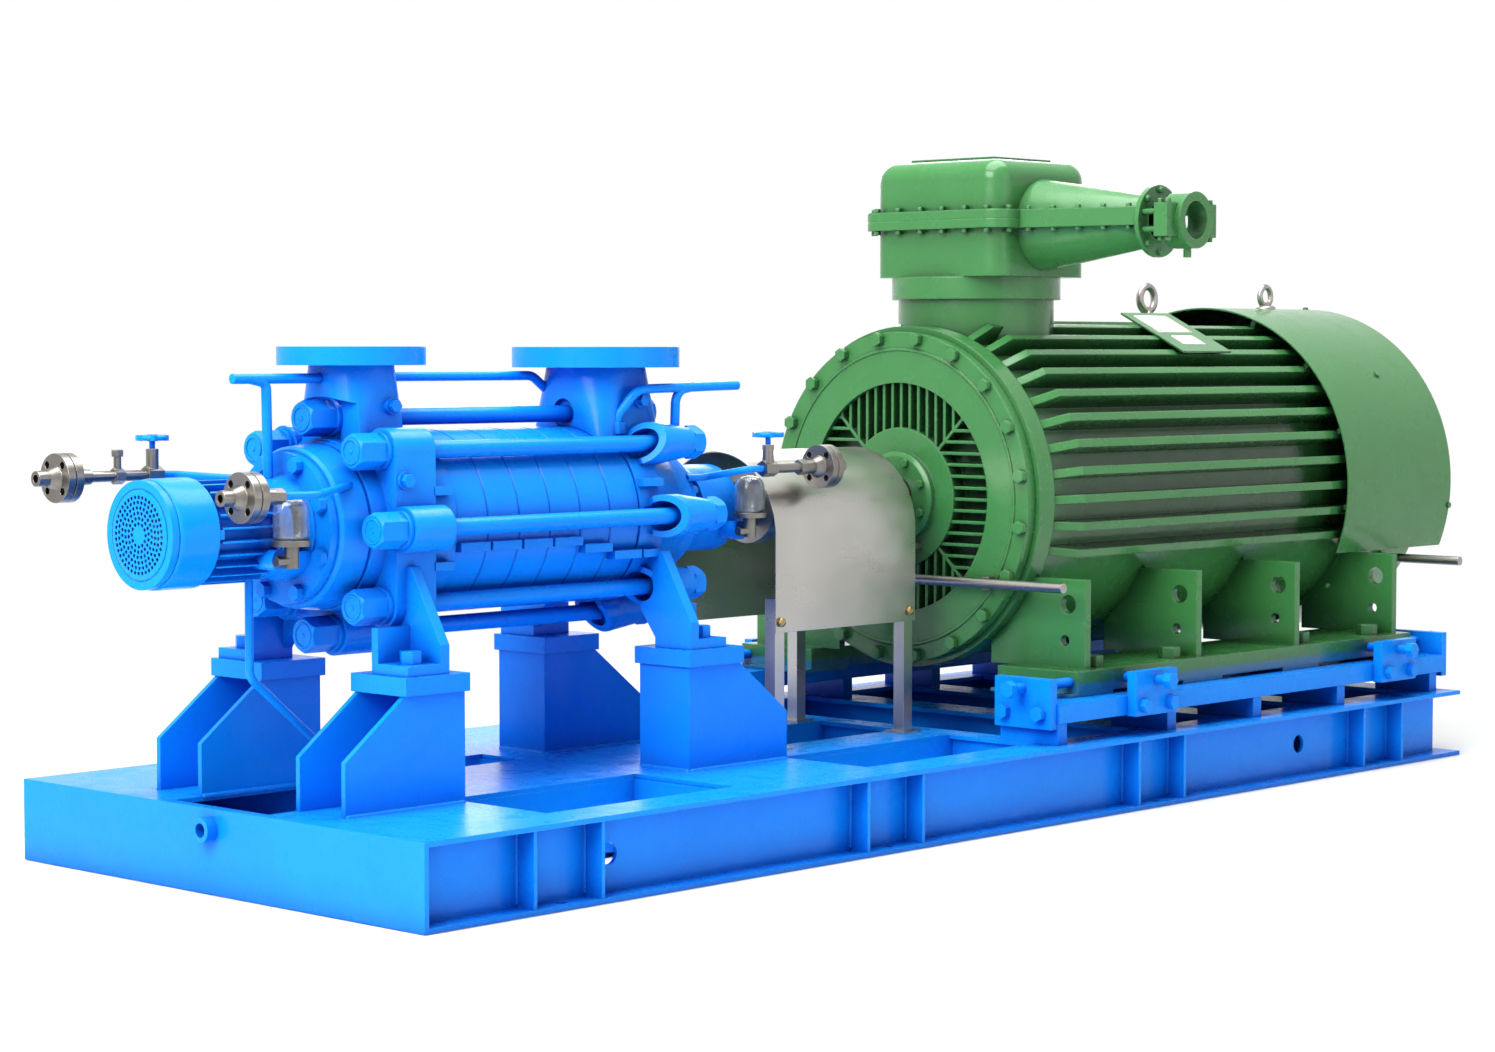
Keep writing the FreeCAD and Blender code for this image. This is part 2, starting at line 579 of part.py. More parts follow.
def foot(x, side, edge):
    """Casing foot: a pad, a sloping cross plate on the edge that is named, and a low web along its inner side."""
    middle = "(foot_spread + pad_out)"
    pad = box("pad_length", "pad_width", "pad_depth",
              (f"{x} - pad_length / 2", f"{side} * {middle} - pad_width / 2", "cap_top"))
    slope = [(f"{side} * ({middle} - pad_width / 2)", "0"), (f"{side} * ({middle} + pad_width / 2)", "0"),
             (f"{side} * ({middle} + pad_width / 2)", "leg_edge"), (f"{side} * leg_top", "leg_rise"),
             (f"{side} * 60", "leg_rise")]
    cross = plate(slope, "leg_plate", "yz", (f"{x} + {edge} * (pad_length - leg_plate) / 2 - leg_plate / 2", "0", "pad_top"))
    web_y = f"{side} * ({middle} - pad_width / 2 + leg_web / 2) - leg_web / 2"
    web = box("pad_length", "leg_web", "leg_web_height", (f"{x} - pad_length / 2", web_y, "pad_top"))
    return fuse(pad, cross, web)


def flange_holes(x, circle, radius, depth):
    """Bolt holes of a nozzle flange, straddling the centre lines."""
    return [cylinder(radius, f"{depth} + 20", (f"{x} + {circle} / 2 * cos({angle})", f"{circle} / 2 * sin({angle})",
                                               f"nozzle_face - {depth} - 10"))
            for angle in around(size["nozzle_bolts"], 15.0)]


def rounded_square(sketch, half_x, half_y, corner):
    """Rectangle with round corners about the origin, as four lines and four arcs."""
    guess = 100
    ways = [(1, 1), (-1, 1), (-1, -1), (1, -1)]
    for i, (sx, sy) in enumerate(ways):
        middle = Vector(sx * guess, sy * guess, 0)
        sketch.addGeometry(Part.ArcOfCircle(Part.Circle(middle, Vector(0, 0, 1), 20),
                                            math.radians(90 * i), math.radians(90 * i + 90)), False)
    for i in range(4):
        start = sketch.Geometry[i].EndPoint
        end = sketch.Geometry[(i + 1) % 4].StartPoint
        sketch.addGeometry(Part.LineSegment(start, end), False)
    for i in range(4):
        sketch.addConstraint(Sketcher.Constraint("Tangent", i, 2, 4 + i, 1))
        sketch.addConstraint(Sketcher.Constraint("Tangent", 4 + i, 2, (i + 1) % 4, 1))
    for i, (sx, sy) in enumerate(ways):
        for kind, sign, half in (("DistanceX", sx, half_x), ("DistanceY", sy, half_y)):
            held = sketch.addConstraint(Sketcher.Constraint(kind, -1, 1, i, 3, sign * guess))
            sketch.setExpression(f"Constraints[{held}]", bound(f"{sign} * ({half} - ({corner}))"))
    for i in range(4):
        held = sketch.addConstraint(Sketcher.Constraint("Radius", i, 20))
        sketch.setExpression(f"Constraints[{held}]", bound(corner))


def neck(x, half_x, half_y, top):
    """Nozzle neck: a ruled loft from a round-cornered rectangle on the casing to the round under the flange."""
    body = doc.addObject("PartDesign::Body", "Neck")
    plane = [item for item in body.Origin.OriginFeatures if item.Role == "XY_Plane"][0]
    sections = []
    for level, sides in (("neck_base", (half_x, half_y, "neck_corner")),
                         ("nozzle_face - shaft_height - 30", (top, top, f"({top}) * 0.98"))):
        sketch = body.newObject("Sketcher::SketchObject", "Section")
        sketch.AttachmentSupport = (plane, "")
        sketch.MapMode = "FlatFace"
        sketch.setExpression("AttachmentOffset.Base.z", bound(level))
        rounded_square(sketch, *sides)
        sections.append(sketch)
    loft = body.newObject("PartDesign::AdditiveLoft", "Loft")
    loft.Profile = sections[0]
    loft.Sections = sections[1:]
    loft.Ruled = True
    return tied(body, (x, "0", "shaft_height"), UPRIGHT)


def nozzle_passage(x, bore):
    """Round bore under the nozzle face, then a passage that narrows down to the cavity."""
    return [cylinder(bore, "nozzle_bore_depth + 20", (x, "0", "nozzle_face - nozzle_bore_depth")),
            cone(f"{bore} - passage_taper", bore, "nozzle_height - nozzle_bore_depth - 100", (x, "0", "shaft_height + 100"))]


def rod_bosses(x, length):
    return [cylinder("boss_radius", length, on_circle("rod_circle", angle, x), "x")
            for angle in around(size["rod_count"])]


def rod_holes(x, length):
    return [cylinder("rod_radius + rod_clearance", f"{length} + 40", on_circle("rod_circle", angle, f"{x} - 20"), "x")
            for angle in around(size["rod_count"])]


def rod_sleeve(x, length):
    """Sleeve that carries the top tie rod across a nozzle passage."""
    return cylinder("rod_radius + 10", length, on_circle("rod_circle", 90, x), "x")


def ledge(x, length, level):
    """Short ledge on the near side of an end casing."""
    block = box(length, "40", "20", (x, "-casing_radius - 10", f"shaft_height + {level} - 10"))
    return cut(block, cylinder("casing_radius - 6", "3000", ("casing_start - 100", "0", "shaft_height"), "x"))


def rod_ear(angle):
    """Tie rod ear of the suction casing: a wide mouth that narrows down to the nut's seat."""
    taper_start = "last_joint + ear_start + ear_mouth"
    return [cylinder("boss_radius", "ear_mouth", on_circle("rod_circle", angle, "last_joint + ear_start"), "x"),
            cone("boss_radius", "ear_tip", "suction_length - ear_start - ear_mouth - ear_setback",
                 on_circle("rod_circle", angle, taper_start), "x")]


SEAT = "casing_start + boss_setback"
WEB_HALF = "(rod_circle * cos(45) + boss_radius)"
web_plug = ("casing_start + 67", f"-{WEB_HALF}", "shaft_height + 113")
shell = fuse(
    cone("shoulder_radius - 6", "shoulder_radius", "boss_setback", ("casing_start", "0", "shaft_height"), "x"),
    cylinder("casing_radius", "discharge_length - boss_setback", (SEAT, "0", "shaft_height"), "x"),
    box("boss_length", f"2 * {WEB_HALF}", "2 * rod_circle * sin(45)",
        (SEAT, f"-{WEB_HALF}", "shaft_height - rod_circle * sin(45)")),
    *rod_bosses(SEAT, "boss_length"),
    cylinder("22", "30", (web_plug[0], f"-{WEB_HALF} - 7", web_plug[2]), "y"),
    *[ledge("first_joint - 78", "60", level) for level in ("85", "(-93)")],
    neck("discharge_nozzle_x", "92", "112", "discharge_neck"),
    cylinder("20", "40", ("discharge_nozzle_x + 30", "-118", "shaft_height + 284"), "y"),
    cylinder("discharge_flange_radius", "discharge_flange_depth",
             ("discharge_nozzle_x", "0", "nozzle_face - discharge_flange_depth")),
    foot("nde_foot", -1, 1),
    foot("nde_foot", 1, 1),
)
hollow = turned([("casing_end_wall", "0"), ("discharge_length + 20", "0"), ("discharge_length + 20", "cavity_radius"),
                 ("casing_end_wall", "cavity_radius")], ("casing_start", "0", "shaft_height"))
nut_room = ring(f"{SEAT} - 150", "150", "shoulder_radius", "rod_circle + rod_nut_flats * 0.67")
opened = cut(
    shell, hollow, nut_room,
    cylinder("drum_radius + 8", "100", ("casing_start - 50", "0", "shaft_height"), "x"),
    *nozzle_passage("discharge_nozzle_x", "discharge_bore"))
node("discharge_casing", cut(
    fuse(opened, rod_sleeve(SEAT, "boss_length + 35")),
    *rod_holes("casing_start", "discharge_length"),
    *flange_holes("discharge_nozzle_x", "discharge_bolt_circle", "discharge_bolt_radius", "discharge_flange_depth"),
))

# The ears' mouths are cut off at a slant, so their open side faces the ring sections
slant = turned([("ear_start - 12", "rod_circle - 30"), ("ear_start + ear_mouth + 10", "rod_circle + 74"),
                ("ear_start - 12", "rod_circle + 74")], ("last_joint", "0", "shaft_height"))
ears = cut(fuse(*[part for angle in around(size["rod_count"]) for part in rod_ear(angle)]), slant)
shell = fuse(
    cylinder("casing_radius", "suction_length - casing_taper", ("last_joint", "0", "shaft_height"), "x"),
    cone("casing_radius", "casing_tip", "casing_taper", ("casing_end - casing_taper", "0", "shaft_height"), "x"),
    ears,
    *[ledge("last_joint + 2", "70", level) for level in ("85", "(-93)")],
    neck("suction_nozzle_x", "112", "138", "suction_neck"),
    cylinder("20", "40", ("suction_nozzle_x + 25", "-142", "shaft_height + 290"), "y"),
    cylinder("suction_flange_radius", "suction_flange_depth",
             ("suction_nozzle_x", "0", "nozzle_face - suction_flange_depth")),
    foot("de_foot", -1, -1),
    foot("de_foot", 1, -1),
)
hollow = turned([("-20", "0"), ("suction_length - casing_end_wall", "0"),
                 ("suction_length - casing_end_wall", "casing_tip - 15"),
                 ("suction_length - casing_taper", "cavity_radius"), ("-20", "cavity_radius")],
                ("last_joint", "0", "shaft_height"))
ring_room = cylinder("stage_radius + 1", "150", ("last_joint - 150", "0", "shaft_height"), "x")
opened = cut(
    shell, hollow, ring_room,
    cylinder("drum_radius - 10", "100", ("casing_end - 50", "0", "shaft_height"), "x"),
    cylinder("ear_bore", "60", on_circle("rod_circle", 90, "suction_nozzle_x - 160"), "x"),
    *[cylinder("ear_bore", "ear_mouth + 20", on_circle("rod_circle", angle, "last_joint + ear_start - 20"), "x")
      for angle in around(size["rod_count"]) if abs(angle - 90) > 1],
    *nozzle_passage("suction_nozzle_x", "suction_bore"))
node("suction_casing", cut(
    fuse(opened, rod_sleeve("last_joint - 20", "suction_length + 20 - ear_setback")),
    *rod_holes("last_joint - 100", "suction_length + 100"),
    *flange_holes("suction_nozzle_x", "suction_bolt_circle", "suction_bolt_radius", "suction_flange_depth"),
))


def ring_section():
    """Outline of a ring section: outer ring with eased edges and an inward wall."""
    inner = "stage_radius - stage_wall"
    return [("0", "stage_radius - 4"), ("4", "stage_radius"), ("stage_pitch - 4", "stage_radius"),
            ("stage_pitch", "stage_radius - 4"), ("stage_pitch", "shaft_radius + 34"),
            ("stage_pitch - 14", "shaft_radius + 34"), ("stage_pitch - 14", inner), ("0", inner)]


for stage in range(int(size["stage_count"])):
    start = f"first_joint + {stage} * stage_pitch"
    section = turned(ring_section(), (start, "0", "shaft_height"))
    drop = {int(size["stage_count"]) - 1: 93, int(size["stage_count"]) - 2: 72}.get(stage, 52)
    lug = box("stage_pitch - 8", "30", "22", (f"{start} + 4", "-stage_radius - 12", f"shaft_height - {drop} - 11"))
    bore = cylinder("stage_radius - 6", "stage_pitch + 40", (f"{start} - 20", "0", "shaft_height"), "x")
    node(f"stage_casing_{stage + 1}", fuse(section, cut(lug, bore)))


def in_stage(points):
    """The same turned piece in every ring section."""
    return [turned(points, (f"first_joint + {stage} * stage_pitch", "0", "shaft_height"))
            for stage in range(int(size["stage_count"]))]


node("diffusers", group(*in_stage([
    ("10", "diffuser_inner"), ("stage_pitch - 14", "diffuser_inner"), ("stage_pitch - 14", "stage_radius - stage_wall"),
    ("10", "stage_radius - stage_wall")])))

DRIVE_SEAT = "(casing_end - ear_setback)"
CAP_SKIN = 14
rod_start = f"{SEAT} - rod_washer - rod_nut_height + {CAP_SKIN}"
rod_stop = f"({DRIVE_SEAT} + rod_washer + drive_nut_height + rod_end)"
node("tie_rods", group(*[
    cylinder("rod_radius", f"{rod_stop} - ({rod_start})", on_circle("rod_circle", angle, rod_start), "x")
    for angle in around(size["rod_count"])]))


def closed_nut(angle):
    """Tall closed nut on its washer at the pump end, its outer corners eased."""
    outer = f"{SEAT} - rod_washer - rod_nut_height"
    form = hexagon("rod_nut_flats", "rod_nut_height", on_circle("rod_circle", angle, outer), "x")
    ease = cone("rod_nut_flats * 0.5", "rod_nut_flats * 0.5 + rod_nut_height", "rod_nut_height",
                on_circle("rod_circle", angle, outer), "x")
    disc = cylinder("rod_nut_flats * 0.6", "rod_washer", on_circle("rod_circle", angle, f"{SEAT} - rod_washer"), "x")
    hole = cylinder("rod_radius", "rod_nut_height + rod_washer", on_circle("rod_circle", angle, f"{outer} + {CAP_SKIN}"), "x")
    return cut(fuse(common(form, ease), disc), hole)


def drive_nut(angle):
    """Plain nut on its washer at the drive end, its outer corners eased."""
    inner = f"{DRIVE_SEAT} + rod_washer"
    form = hexagon("rod_nut_flats", "drive_nut_height", on_circle("rod_circle", angle, inner), "x")
    ease = cone("rod_nut_flats * 0.5 + drive_nut_height", "rod_nut_flats * 0.5", "drive_nut_height",
                on_circle("rod_circle", angle, inner), "x")
    disc = cylinder("rod_nut_flats * 0.52", "rod_washer", on_circle("rod_circle", angle, DRIVE_SEAT), "x")
    hole = cylinder("rod_radius", "drive_nut_height + rod_washer + 20", on_circle("rod_circle", angle, f"{DRIVE_SEAT} - 10"), "x")
    return cut(fuse(common(form, ease), disc), hole)


node("tie_rod_nuts", group(*[nut(angle) for nut in (closed_nut, drive_nut) for angle in around(size["rod_count"])]))

# Covers, bearings and brackets of the pump

nde_cover = turned([("0", "journal_radius + 22"), ("0", "cover_radius - 13"), ("8", "cover_radius - 7"),
                    ("nde_cover_depth - 8", "cover_radius"), ("nde_cover_depth", "cover_radius - 4"),
                    ("nde_cover_depth", "journal_radius + 22")], ("nde_cover_face", "0", "shaft_height"))
de_cover = turned([("0", "journal_radius + 22"), ("0", "casing_tip"), ("de_cover_depth - 6", "casing_tip"),
                   ("de_cover_depth", "casing_tip - 6"), ("de_cover_depth", "journal_radius + 22")],
                  ("casing_end", "0", "shaft_height"))
node("seal_covers", group(nde_cover, de_cover))


def lantern(flange_x, way, length, tip, flange):
    """Open bearing bracket: a bolted flange and a windowed shell."""
    inner = "bracket_radius - bracket_wall"
    profile = [("0", inner), ("0", flange), (f"{way} * bracket_flange_depth", flange),
               (f"{way} * bracket_flange_depth", "bracket_radius + 4"), (f"{way} * ({length} - 20)", tip),
               (f"{way} * ({length})", tip), (f"{way} * ({length})", "journal_radius + 40"),
               (f"{way} * ({length} - 12)", "journal_radius + 40"), (f"{way} * ({length} - 12)", f"{tip} - bracket_wall")]
    shell = turned(profile, (flange_x, "0", "shaft_height"))
    span = f"{length} - bracket_flange_depth - 34"
    first = f"{flange_x} + {way} * (bracket_flange_depth + 6)"
    if way < 0:
        first = f"{first} - ({span})"
    window = box(span, "4 * bracket_radius", "bracket_radius * 1.05",
                 (first, "-2 * bracket_radius", "shaft_height - bracket_radius * 0.4"))
    return cut(shell, window)


node("nde_bearing_bracket", lantern("nde_cover_face", -1, "nde_bracket_length", "fin_radius - 6", "bracket_flange"))

housing = turned([("0", "journal_radius + 24"), ("0", "housing_radius"), ("housing_length - 14", "housing_radius"),
                  ("housing_length - 14", "fin_radius - 8"), ("housing_length", "fin_radius - 8"),
                  ("housing_length", "journal_radius + 24")], ("housing_end", "0", "shaft_height"))
fins = []
for angle in around(size["housing_fins"], 7.5):
    fin = doc.addObject("Part::Box", "Fin")
    tied(fin, ("housing_end + 12", "0", "shaft_height"), Turn(Vector(1, 0, 0), angle),
         Length="housing_length - 24", Width="fin_radius", Height="5")
    fins.append(fin)
fin_set = cut(fuse(*fins), cylinder("housing_radius - 2", "housing_length + 40",
                                    ("housing_end - 20", "0", "shaft_height"), "x"))
oil_boss = cylinder("24", "100", ("nde_oiler_x", "-housing_radius - 45", "shaft_height - 64"), "y")
boss_core = cylinder("housing_radius - 4", "housing_length", ("housing_end", "0", "shaft_height"), "x")
lug_cross = group(*[box("cowl_lug", "3 * cowl_radius", "lug_width",
                       ("housing_end - cowl_lug / 2", "-1.5 * cowl_radius", "shaft_height - lug_width / 2")),
                    box("cowl_lug", "lug_width", "3 * cowl_radius",
                        ("housing_end - cowl_lug / 2", "-lug_width / 2", "shaft_height - 1.5 * cowl_radius"))])
lugs = common(lug_cross, ring("housing_end - cowl_lug / 2", "cowl_lug", "fin_radius - 12", "cowl_radius - cowl_sheet"))
node("nde_bearing_housing", fuse(housing, fin_set, lugs, cut(oil_boss, boss_core)))

cowl_shell = turned([("0", "0"), ("0", "cowl_radius"), ("cowl_length", "cowl_radius"),
                     ("cowl_length", "cowl_radius - cowl_sheet"), ("cowl_sheet", "cowl_radius - cowl_sheet"),
                     ("cowl_sheet", "0")], ("cowl_face", "0", "shaft_height"))
rounded(cowl_shell, "cowl_corner", lambda edge: abs(edge.BoundBox.XMax) < 0.01 and edge.BoundBox.YLength > 200)
cowl_holes = []
for i in range(6):
    circle = 26 + 12 * i
    count = round(math.tau * circle / 13.5)
    cowl_holes += [cylinder("4.4", "30", ("cowl_face - 10", f"-{circle} * cos({angle})", f"shaft_height + {circle} * sin({angle})"),
                            "x") for angle in around(count, 7 * i)]
node("nde_fan_cowl", cut(cowl_shell, group(*cowl_holes)))

node("de_bearing_bracket", fuse(
    lantern("de_cover_face", 1, "de_bracket_length", "de_housing_radius", "drive_flange"),
    turned([("0", "journal_radius + 24"), ("0", "de_housing_radius"), ("de_housing_length - 20", "de_housing_radius"),
            ("de_housing_length", "de_housing_radius - 12"), ("de_housing_length", "journal_radius + 24")],
           ("de_lantern_end", "0", "shaft_height")),
    cut(cylinder("24", "60", ("de_oiler_x", "-de_housing_radius - 40", "shaft_height - 56"), "y"),
        cylinder("de_housing_radius - 4", "300", ("de_lantern_end - 50", "0", "shaft_height"), "x")),
))


node("shaft_bearings", group(
    ring("nde_bracket_end - 90", "80", "journal_radius + running_gap", "journal_radius + 24"),
    ring("de_lantern_end + 25", "80", "journal_radius + running_gap", "journal_radius + 24"),
    ring("motor_start + 8", "46", "motor_shaft_radius + running_gap", "motor_shaft_radius + 40"),
    ring("motor_end - 54", "50", "motor_shaft_radius + running_gap", "motor_shaft_radius + 40"),
))

bolt_heads = []
for angle in around(8, 22.5):
    bolt_heads.append(hexagon("34", "20", on_circle("bracket_bolt_circle", angle,
                                                    "nde_cover_face - bracket_flange_depth - 20"), "x"))
    bolt_heads.append(hexagon("20", "16", on_circle("drive_bolt_circle", angle,
                                                    "de_cover_face + bracket_flange_depth"), "x"))
for x in ("nde_foot - 16", "de_foot + 16"):
    for side in (-1, 1):
        bolt_heads.append(hexagon("46", "30", (x, f"{side} * (foot_spread + pad_out + 18)", "pad_top")))
bolt_heads.append(hexagon("30", "14", (web_plug[0], f"-{WEB_HALF} - 21", web_plug[2]), "y"))
bolt_heads.append(hexagon("28", "14", ("discharge_nozzle_x + 30", "-132", "shaft_height + 284"), "y"))
bolt_heads.append(hexagon("28", "14", ("suction_nozzle_x + 25", "-156", "shaft_height + 290"), "y"))
node("pump_bolts", group(*bolt_heads))

# Rotor of the pump

shaft_steps = [
    ("cowl_face + 50", "0"), ("cowl_face + 50", "22"), ("housing_end + 20", "22"), ("housing_end + 20", "journal_radius"),
    ("casing_start", "journal_radius"), ("casing_start", "shaft_radius"), ("casing_end", "shaft_radius"),
    ("casing_end", "journal_radius"), ("guard_start + 139", "journal_radius"), ("guard_start + 139", "0")]
node("pump_shaft", turned(shaft_steps, ("0", "0", "shaft_height")))

impeller_outline = [
    ("22", "shaft_radius"), ("22", "shaft_radius + 16"), ("48", "impeller_radius - 10"), ("48", "impeller_radius"),
    ("76", "impeller_radius"), ("76", "impeller_radius - 40"), ("86", "shaft_radius + 44"),
    ("stage_pitch - 16", "shaft_radius + 44"), ("stage_pitch - 16", "shaft_radius + 30"), ("66", "shaft_radius + 20"),
    ("60", "shaft_radius")]
drum = ring("casing_start + casing_end_wall + 4", "discharge_length - casing_end_wall - 30", "shaft_radius", "drum_radius")
node("impellers", group(*in_stage(impeller_outline), drum))

fan_hub = turned([("60", "22"), ("60", "42"), ("100", "42"), ("100", "22")], ("cowl_face", "0", "shaft_height"))
blades = []
for angle in around(7):
    blade = doc.addObject("Part::Box", "Blade")
    tied(blade, ("cowl_face + 60", "0", "shaft_height"), Turn(Vector(1, 0, 0), angle),
         Length="40", Width="cowl_radius - 26", Height="4")
    blades.append(blade)
blade_set = cut(fuse(*blades), cylinder("40", "80", ("cowl_face + 40", "0", "shaft_height"), "x"))
node("cooling_fan", fuse(fan_hub, blade_set))

node("pump_coupling_hub", turned([
    ("0", "journal_radius"), ("0", "62"), ("88", "62"), ("88", "104"), ("108", "104"), ("108", "journal_radius")],
    ("guard_start + 31", "0", "shaft_height")))

# Coupling guard

sheet_in = "guard_radius - guard_sheet"
outer_form = fuse(
    cylinder("guard_radius", "guard_length", ("guard_start", "0", "guard_axis"), "x"),
    box("guard_length", "2 * guard_radius", "guard_drop", ("guard_start", "-guard_radius", "guard_bottom")))
inner_form = fuse(
    cylinder(sheet_in, "guard_length + 40", ("guard_start - 20", "0", "guard_axis"), "x"),
    box("guard_length + 40", f"2 * ({sheet_in})", "guard_drop + 20", ("guard_start - 20", f"-({sheet_in})", "guard_bottom - 20")))
node("guard_shell", cut(outer_form, inner_form))


def guard_post(x, side):
    y = f"{side} * (guard_radius - guard_sheet - guard_leg / 2) - guard_leg / 2"
    post = box("guard_leg", "guard_leg", "guard_bottom + 90 - base_height - 6", (f"{x} - guard_leg / 2", y, "base_height + 6"))
    sole = box("guard_leg + 34", "guard_leg + 34", "6", (f"{x} - guard_leg / 2 - 17", f"{y} - 17", "base_height"))
    head = cylinder("8", "6", (x, f"{side} * (guard_radius + 3) - 3", "guard_bottom + 28"), "y")
    return [fuse(post, sole), head]


posts = []
for x in ("guard_start + guard_leg_inset", "guard_end - guard_leg_inset - 9"):
    for side in (-1, 1):
        posts += guard_post(x, side)
node("guard_legs", group(*posts))

# Motor

frame_body = turned([
    ("frame_start", "motor_radius - motor_wall"), ("frame_start", "motor_flange_radius"),
    ("motor_start + motor_flange_depth", "motor_flange_radius"), ("motor_start + motor_flange_depth", "motor_radius"),
    ("frame_end", "motor_radius"), ("frame_end", "motor_radius - motor_wall")], ("0", "0", "shaft_height"))
envelope = turned([
    ("motor_start + motor_flange_depth", "motor_radius - 8"), ("motor_start + motor_flange_depth", "motor_radius + 8"),
    ("motor_start + motor_flange_depth + 90", "motor_fin_radius"), ("frame_end - 20", "motor_fin_radius"),
    ("frame_end - 20", "motor_radius - 8")], ("0", "0", "shaft_height"))
fin_angles = [-14 + 8.6 * i for i in range(int(size["motor_fins"]))]
fins = []
for angle in fin_angles + [180 - a for a in fin_angles]:
    fin = doc.addObject("Part::Box", "MotorFin")
    tied(fin, ("frame_start", f"-(motor_fin_width / 2) * sin({angle})",
               f"shaft_height - (motor_fin_width / 2) * cos({angle})"), Turn(Vector(1, 0, 0), 180 - angle),
         Length="frame_end - frame_start", Width="motor_fin_radius + 20", Height="motor_fin_width")
    fins.append(fin)
fin_part = cut(common(group(*fins), envelope), cylinder("neck_radius", "900", ("box_x", "0", "shaft_height")))
node("motor_frame", fuse(frame_body, fin_part))


# Worked-out numbers for shapes that are made here
now = types.SimpleNamespace(**size)


def grille_ribs():
    """Parallel ribs in four sectors between the grille's two rims, upright at the top and level at the sides."""
    depth = 48
    start = now.motor_start + 12
    reach = now.grille_outer + 2
    rims = Part.makeCylinder(reach, depth, Vector(start, 0, 0), Vector(1, 0, 0)).cut(
        Part.makeCylinder(now.grille_inner - 2, depth, Vector(start, 0, 0), Vector(1, 0, 0)))
    corners = [Vector(start, 0, 0), Vector(start, -2 * reach, 2 * reach), Vector(start, 2 * reach, 2 * reach)]
    sector = Part.Face(Part.makePolygon(corners + corners[:1])).extrude(Vector(depth, 0, 0))
    count = int(reach / math.sqrt(2) / now.grille_pitch)
    ribs = [Part.makeBox(depth, now.grille_rib, 2 * reach, Vector(start, now.grille_pitch * i - now.grille_rib / 2, 0))
            for i in range(-count, count + 1)]
    divider = Part.makeBox(depth, now.grille_rib, 2 * reach, Vector(start, -now.grille_rib / 2, 0))
    divider.rotate(Vector(), Vector(1, 0, 0), 45)
    top = ribs[0].fuse(ribs[1:]).common(sector.common(rims)).fuse(divider.common(rims))
    turns = []
    for quarter in range(4):
        copy = top.copy()
        copy.rotate(Vector(), Vector(1, 0, 0), 90 * quarter)
        turns.append(copy)
    return turns[0].fuse(turns[1:]).removeSplitter()


shield = turned([
    ("0", "grille_outer"), ("0", "motor_flange_radius - 16"), ("shield_depth", "motor_flange_radius - 16"),
    ("shield_depth", "motor_radius - motor_wall"), ("74", "motor_radius - motor_wall"), ("74", "bearing_cap_radius"),
    ("90", "bearing_cap_radius"), ("90", "motor_shaft_radius + 40"), ("8", "motor_shaft_radius + 40"),
    ("8", "grille_inner"), ("60", "grille_inner"), ("60", "grille_outer")], ("motor_start", "0", "shaft_height"))
cap = turned([("-14", "motor_shaft_radius + 2"), ("-14", "bearing_cap_radius - 12"), ("-8", "bearing_cap_radius"),
              ("8", "bearing_cap_radius"), ("8", "motor_shaft_radius + 2")], ("motor_start", "0", "shaft_height"))
node("motor_endshield_de", group(fuse(shield, shaped(grille_ribs(), ("0", "0", "shaft_height"))), cap))

node("motor_endshield_nde", turned([
    ("frame_end - 40", "motor_shaft_radius + 40"), ("frame_end - 40", "motor_radius - motor_wall"),
    ("frame_end", "motor_radius - motor_wall"), ("frame_end", "motor_radius + 14"), ("motor_end", "motor_radius + 14"),
    ("motor_end", "motor_shaft_radius + 40")], ("0", "0", "shaft_height")))

CORE_START = "motor_start + 250"
CORE_END = "motor_end - 270"
node("motor_stator", turned([
    (CORE_START, "304"), (f"{CORE_START} - 90", "320"), (f"{CORE_START} - 90", "410"), (CORE_START, "420"),
    (CORE_START, "motor_radius - motor_wall"), (CORE_END, "motor_radius - motor_wall"), (CORE_END, "420"),
    (f"{CORE_END} + 90", "410"), (f"{CORE_END} + 90", "320"), (CORE_END, "304")], ("0", "0", "shaft_height")))

node("motor_rotor_core", turned([(CORE_START, "80"), (CORE_START, "301"), (CORE_END, "301"), (CORE_END, "80")],
                                ("0", "0", "shaft_height")))

node("motor_shaft", turned([
    ("guard_end - 57", "0"), ("guard_end - 57", "motor_shaft_radius"), ("motor_start + 110", "motor_shaft_radius"),
    ("motor_start + 110", "80"), ("motor_end - 90", "80"), ("motor_end - 90", "motor_shaft_radius"),
    ("motor_end + 160", "motor_shaft_radius"), ("motor_end + 160", "0")], ("0", "0", "shaft_height")))

# The spacer reaches from the pump hub to the motor hub
node("motor_coupling", group(
    turned([("0", "0"), ("0", "104"), ("20", "104"), ("20", "58"), ("guard_length - 216 - part_gap", "58"),
            ("guard_length - 216 - part_gap", "104"), ("guard_length - 196 - part_gap", "104"),
            ("guard_length - 196 - part_gap", "0")], ("guard_start + 139 + part_gap", "0", "shaft_height")),
    turned([("0", "motor_shaft_radius"), ("0", "104"), ("20", "104"), ("20", "88"), ("110", "88"),
            ("110", "motor_shaft_radius")], ("guard_end - 57", "0", "shaft_height")),
))

fan_hub = turned([("0", "motor_shaft_radius"), ("0", "96"), ("6", "360"), ("14", "360"), ("20", "96"),
                  ("120", "96"), ("120", "motor_shaft_radius")], ("motor_end + 20", "0", "shaft_height"))
blades = []
for angle in around(9):
    blade = doc.addObject("Part::Box", "MotorBlade")
    tied(blade, ("motor_end + 30", "0", "shaft_height"), Turn(Vector(1, 0, 0), angle),
         Length="86", Width="360", Height="8")
    blades.append(blade)
blade_set = cut(fuse(*blades), cylinder("92", "200", ("motor_end", "0", "shaft_height"), "x"))
node("motor_fan", fuse(fan_hub, blade_set))

